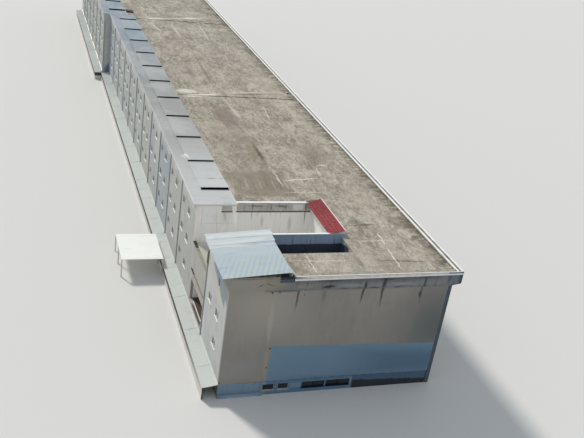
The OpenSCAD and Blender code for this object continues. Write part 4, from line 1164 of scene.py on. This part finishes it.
def lowFrame(x, wide, cells):  # posts between the cells, a bar below and above, a sill
    w = lowWindows
    z0, z1, bar, back = w["foot"], w["foot"] + w["height"], w["bar"], w["face"] + w["deep"]
    posts = x + (wide - bar) * np.arange(cells + 1) / cells
    lows, highs = [(p, w["face"], z0) for p in posts], [(p + bar, back, z1) for p in posts]
    for z in (z0, z1 - bar / 2):
        lows.append((x, w["face"], z))
        highs.append((x + wide, back, z + bar / 2))
    lows.append((x - w["lap"], -w["nose"], z0 - w["sill"]))
    highs.append((x + wide + w["lap"], w["face"] + 2, z0 + 0.5))
    return boxes(lows, highs)


makePiece("basementWindowFrames", [lowFrame(*span, 1) for span in lowWindows["single"]],
          framePaint, bevel=0.6)
makePiece("basementWideFrames", [lowFrame(*span, 2) for span in lowWindows["wide"]],
          navyPaint, bevel=0.6)

# Iron fixings left on the near wall, by their corners
fixings = {"low": [(440, -7, 516), (430, -6, 307), (4, -7, 168)],
           "high": [(452, 1, 528), (440, 1, 317), (14, 1, 180)]}
makePiece("wallFixings", [boxes(fixings["low"], fixings["high"])], rustyIron,
          bevel=1.0)

# Roof outlets: low domes turned from a rounded profile
outlets = {"places": ((2145, 5385), (2150, 10425), (2108, 10950)), "radius": 22, "height": 9,
           "sides": 24, "rings": 6, "share": 0.93}


def outletDome(x, y):  # radius falls with height as a quarter ellipse, turned full circle
    turn = np.linspace(0, 2 * math.pi, outlets["sides"], endpoint=False)
    rise = np.linspace(0, math.pi / 2 * outlets["share"], outlets["rings"])
    r = np.concatenate([[outlets["radius"]], outlets["radius"] * np.cos(rise)])
    z = np.concatenate([[-1.0], outlets["height"] * np.sin(rise)]) + building["roofTop"]
    r, z = r[:, None], z[:, None]
    grid = joined(x + r * np.cos(turn), y + r * np.sin(turn), z)
    faces = gridFaces(len(r), len(turn), True).tolist()
    last = (len(r) - 1) * len(turn)
    faces += [list(range(len(turn))), list(range(last, last + len(turn)))]
    return grid.reshape(-1, 3), faces


makePiece("roofOutlets", [outletDome(x, y) for x, y in outlets["places"]], hatchPaint)
print("yard side and small parts dressed")

# Floor and light: a pale ground, a wide soft sun from the far yard side and an even sky
studio = {"half": 300, "ground": "#d6d4cf", "sunFrom": (-0.5, 0.95, 1.0), "sunPower": 2.5,
          "sunWide": 9, "sunColour": (1.0, 0.975, 0.93), "sky": "#cfd8e3", "skyPower": 0.75}
h = studio["half"]
floorMesh = bpy.data.meshes.new("studioFloor")
floorMesh.from_pydata([(-h, -h, 0), (h, -h, 0), (h, h, 0), (-h, h, 0)], [], [(0, 1, 2, 3)])
floor = addObject("studioFloor", floorMesh)
floorPaint, _, shader, _ = startSurface("pale studio floor", Roughness=0.95)
shader.inputs["Base Color"].default_value = hexLinear(studio["ground"])
floorMesh.materials.append(floorPaint)

sunLight = bpy.data.lights.new("sun", "SUN")
sunLight.energy, sunLight.angle = studio["sunPower"], math.radians(studio["sunWide"])
sunLight.color = studio["sunColour"]
sun = addObject("sun", sunLight)
sun.rotation_mode = "QUATERNION"
sun.rotation_quaternion = Vector(studio["sunFrom"]).to_track_quat("Z", "Y")

world = bpy.data.worlds.new("studioSky")
bpy.context.scene.world = world
world.use_nodes = True
sky = world.node_tree
path = addNode(sky, "LightPath")
seen = path.outputs["Is Camera Ray"]
for ray in ("Is Glossy Ray", "Is Transmission Ray"):
    seen = addNode(sky, "Math", {"operation": "MAXIMUM"},
                   {0: seen, 1: path.outputs[ray]}).outputs[0]
skyColour = addNode(sky, "Mix", {"data_type": "RGBA", 6: hexLinear(studio["sky"]),
                                 7: hexLinear("#ffffff")}, {0: seen})
strength = addNode(sky, "MapRange", {"To Min": studio["skyPower"], "To Max": 1.0}, {0: seen})
backdrop = sky.nodes["Background"]
sky.links.new(skyColour.outputs[2], backdrop.inputs["Color"])
sky.links.new(strength.outputs[0], backdrop.inputs["Strength"])

# Camera solved from the photograph: place in bays from the near yard corner, turns in radians
view = {"place": (-2.3249, -7.6792, 6.271), "yaw": 0.3657, "pitch": 0.4358, "roll": -0.1554,
        "lens": 50.034}
ahead = Vector((math.sin(view["yaw"]), math.cos(view["yaw"]), 0))
side = Vector((math.cos(view["yaw"]), -math.sin(view["yaw"]), 0))
upward = Vector((0, 0, 1))
look = ahead * math.cos(view["pitch"]) - upward * math.sin(view["pitch"])
lower = -(upward * math.cos(view["pitch"]) + ahead * math.sin(view["pitch"]))
right = side * math.cos(view["roll"]) + lower * math.sin(view["roll"])
down = lower * math.cos(view["roll"]) - side * math.sin(view["roll"])
cameraData = bpy.data.cameras.new("photoCamera")
cameraData.lens, cameraData.sensor_width = view["lens"], 36.0
cameraData.clip_start, cameraData.clip_end = 0.1, 800.0
camera = addObject("photoCamera", cameraData)
camera.matrix_world = Matrix((right, -down, -look)).transposed().to_4x4()
camera.location = Vector(toScene(np.array(view["place"]) * bay))
bpy.context.scene.camera = camera
bpy.context.scene.view_settings.view_transform = "Standard"
print("floor, light and camera set")
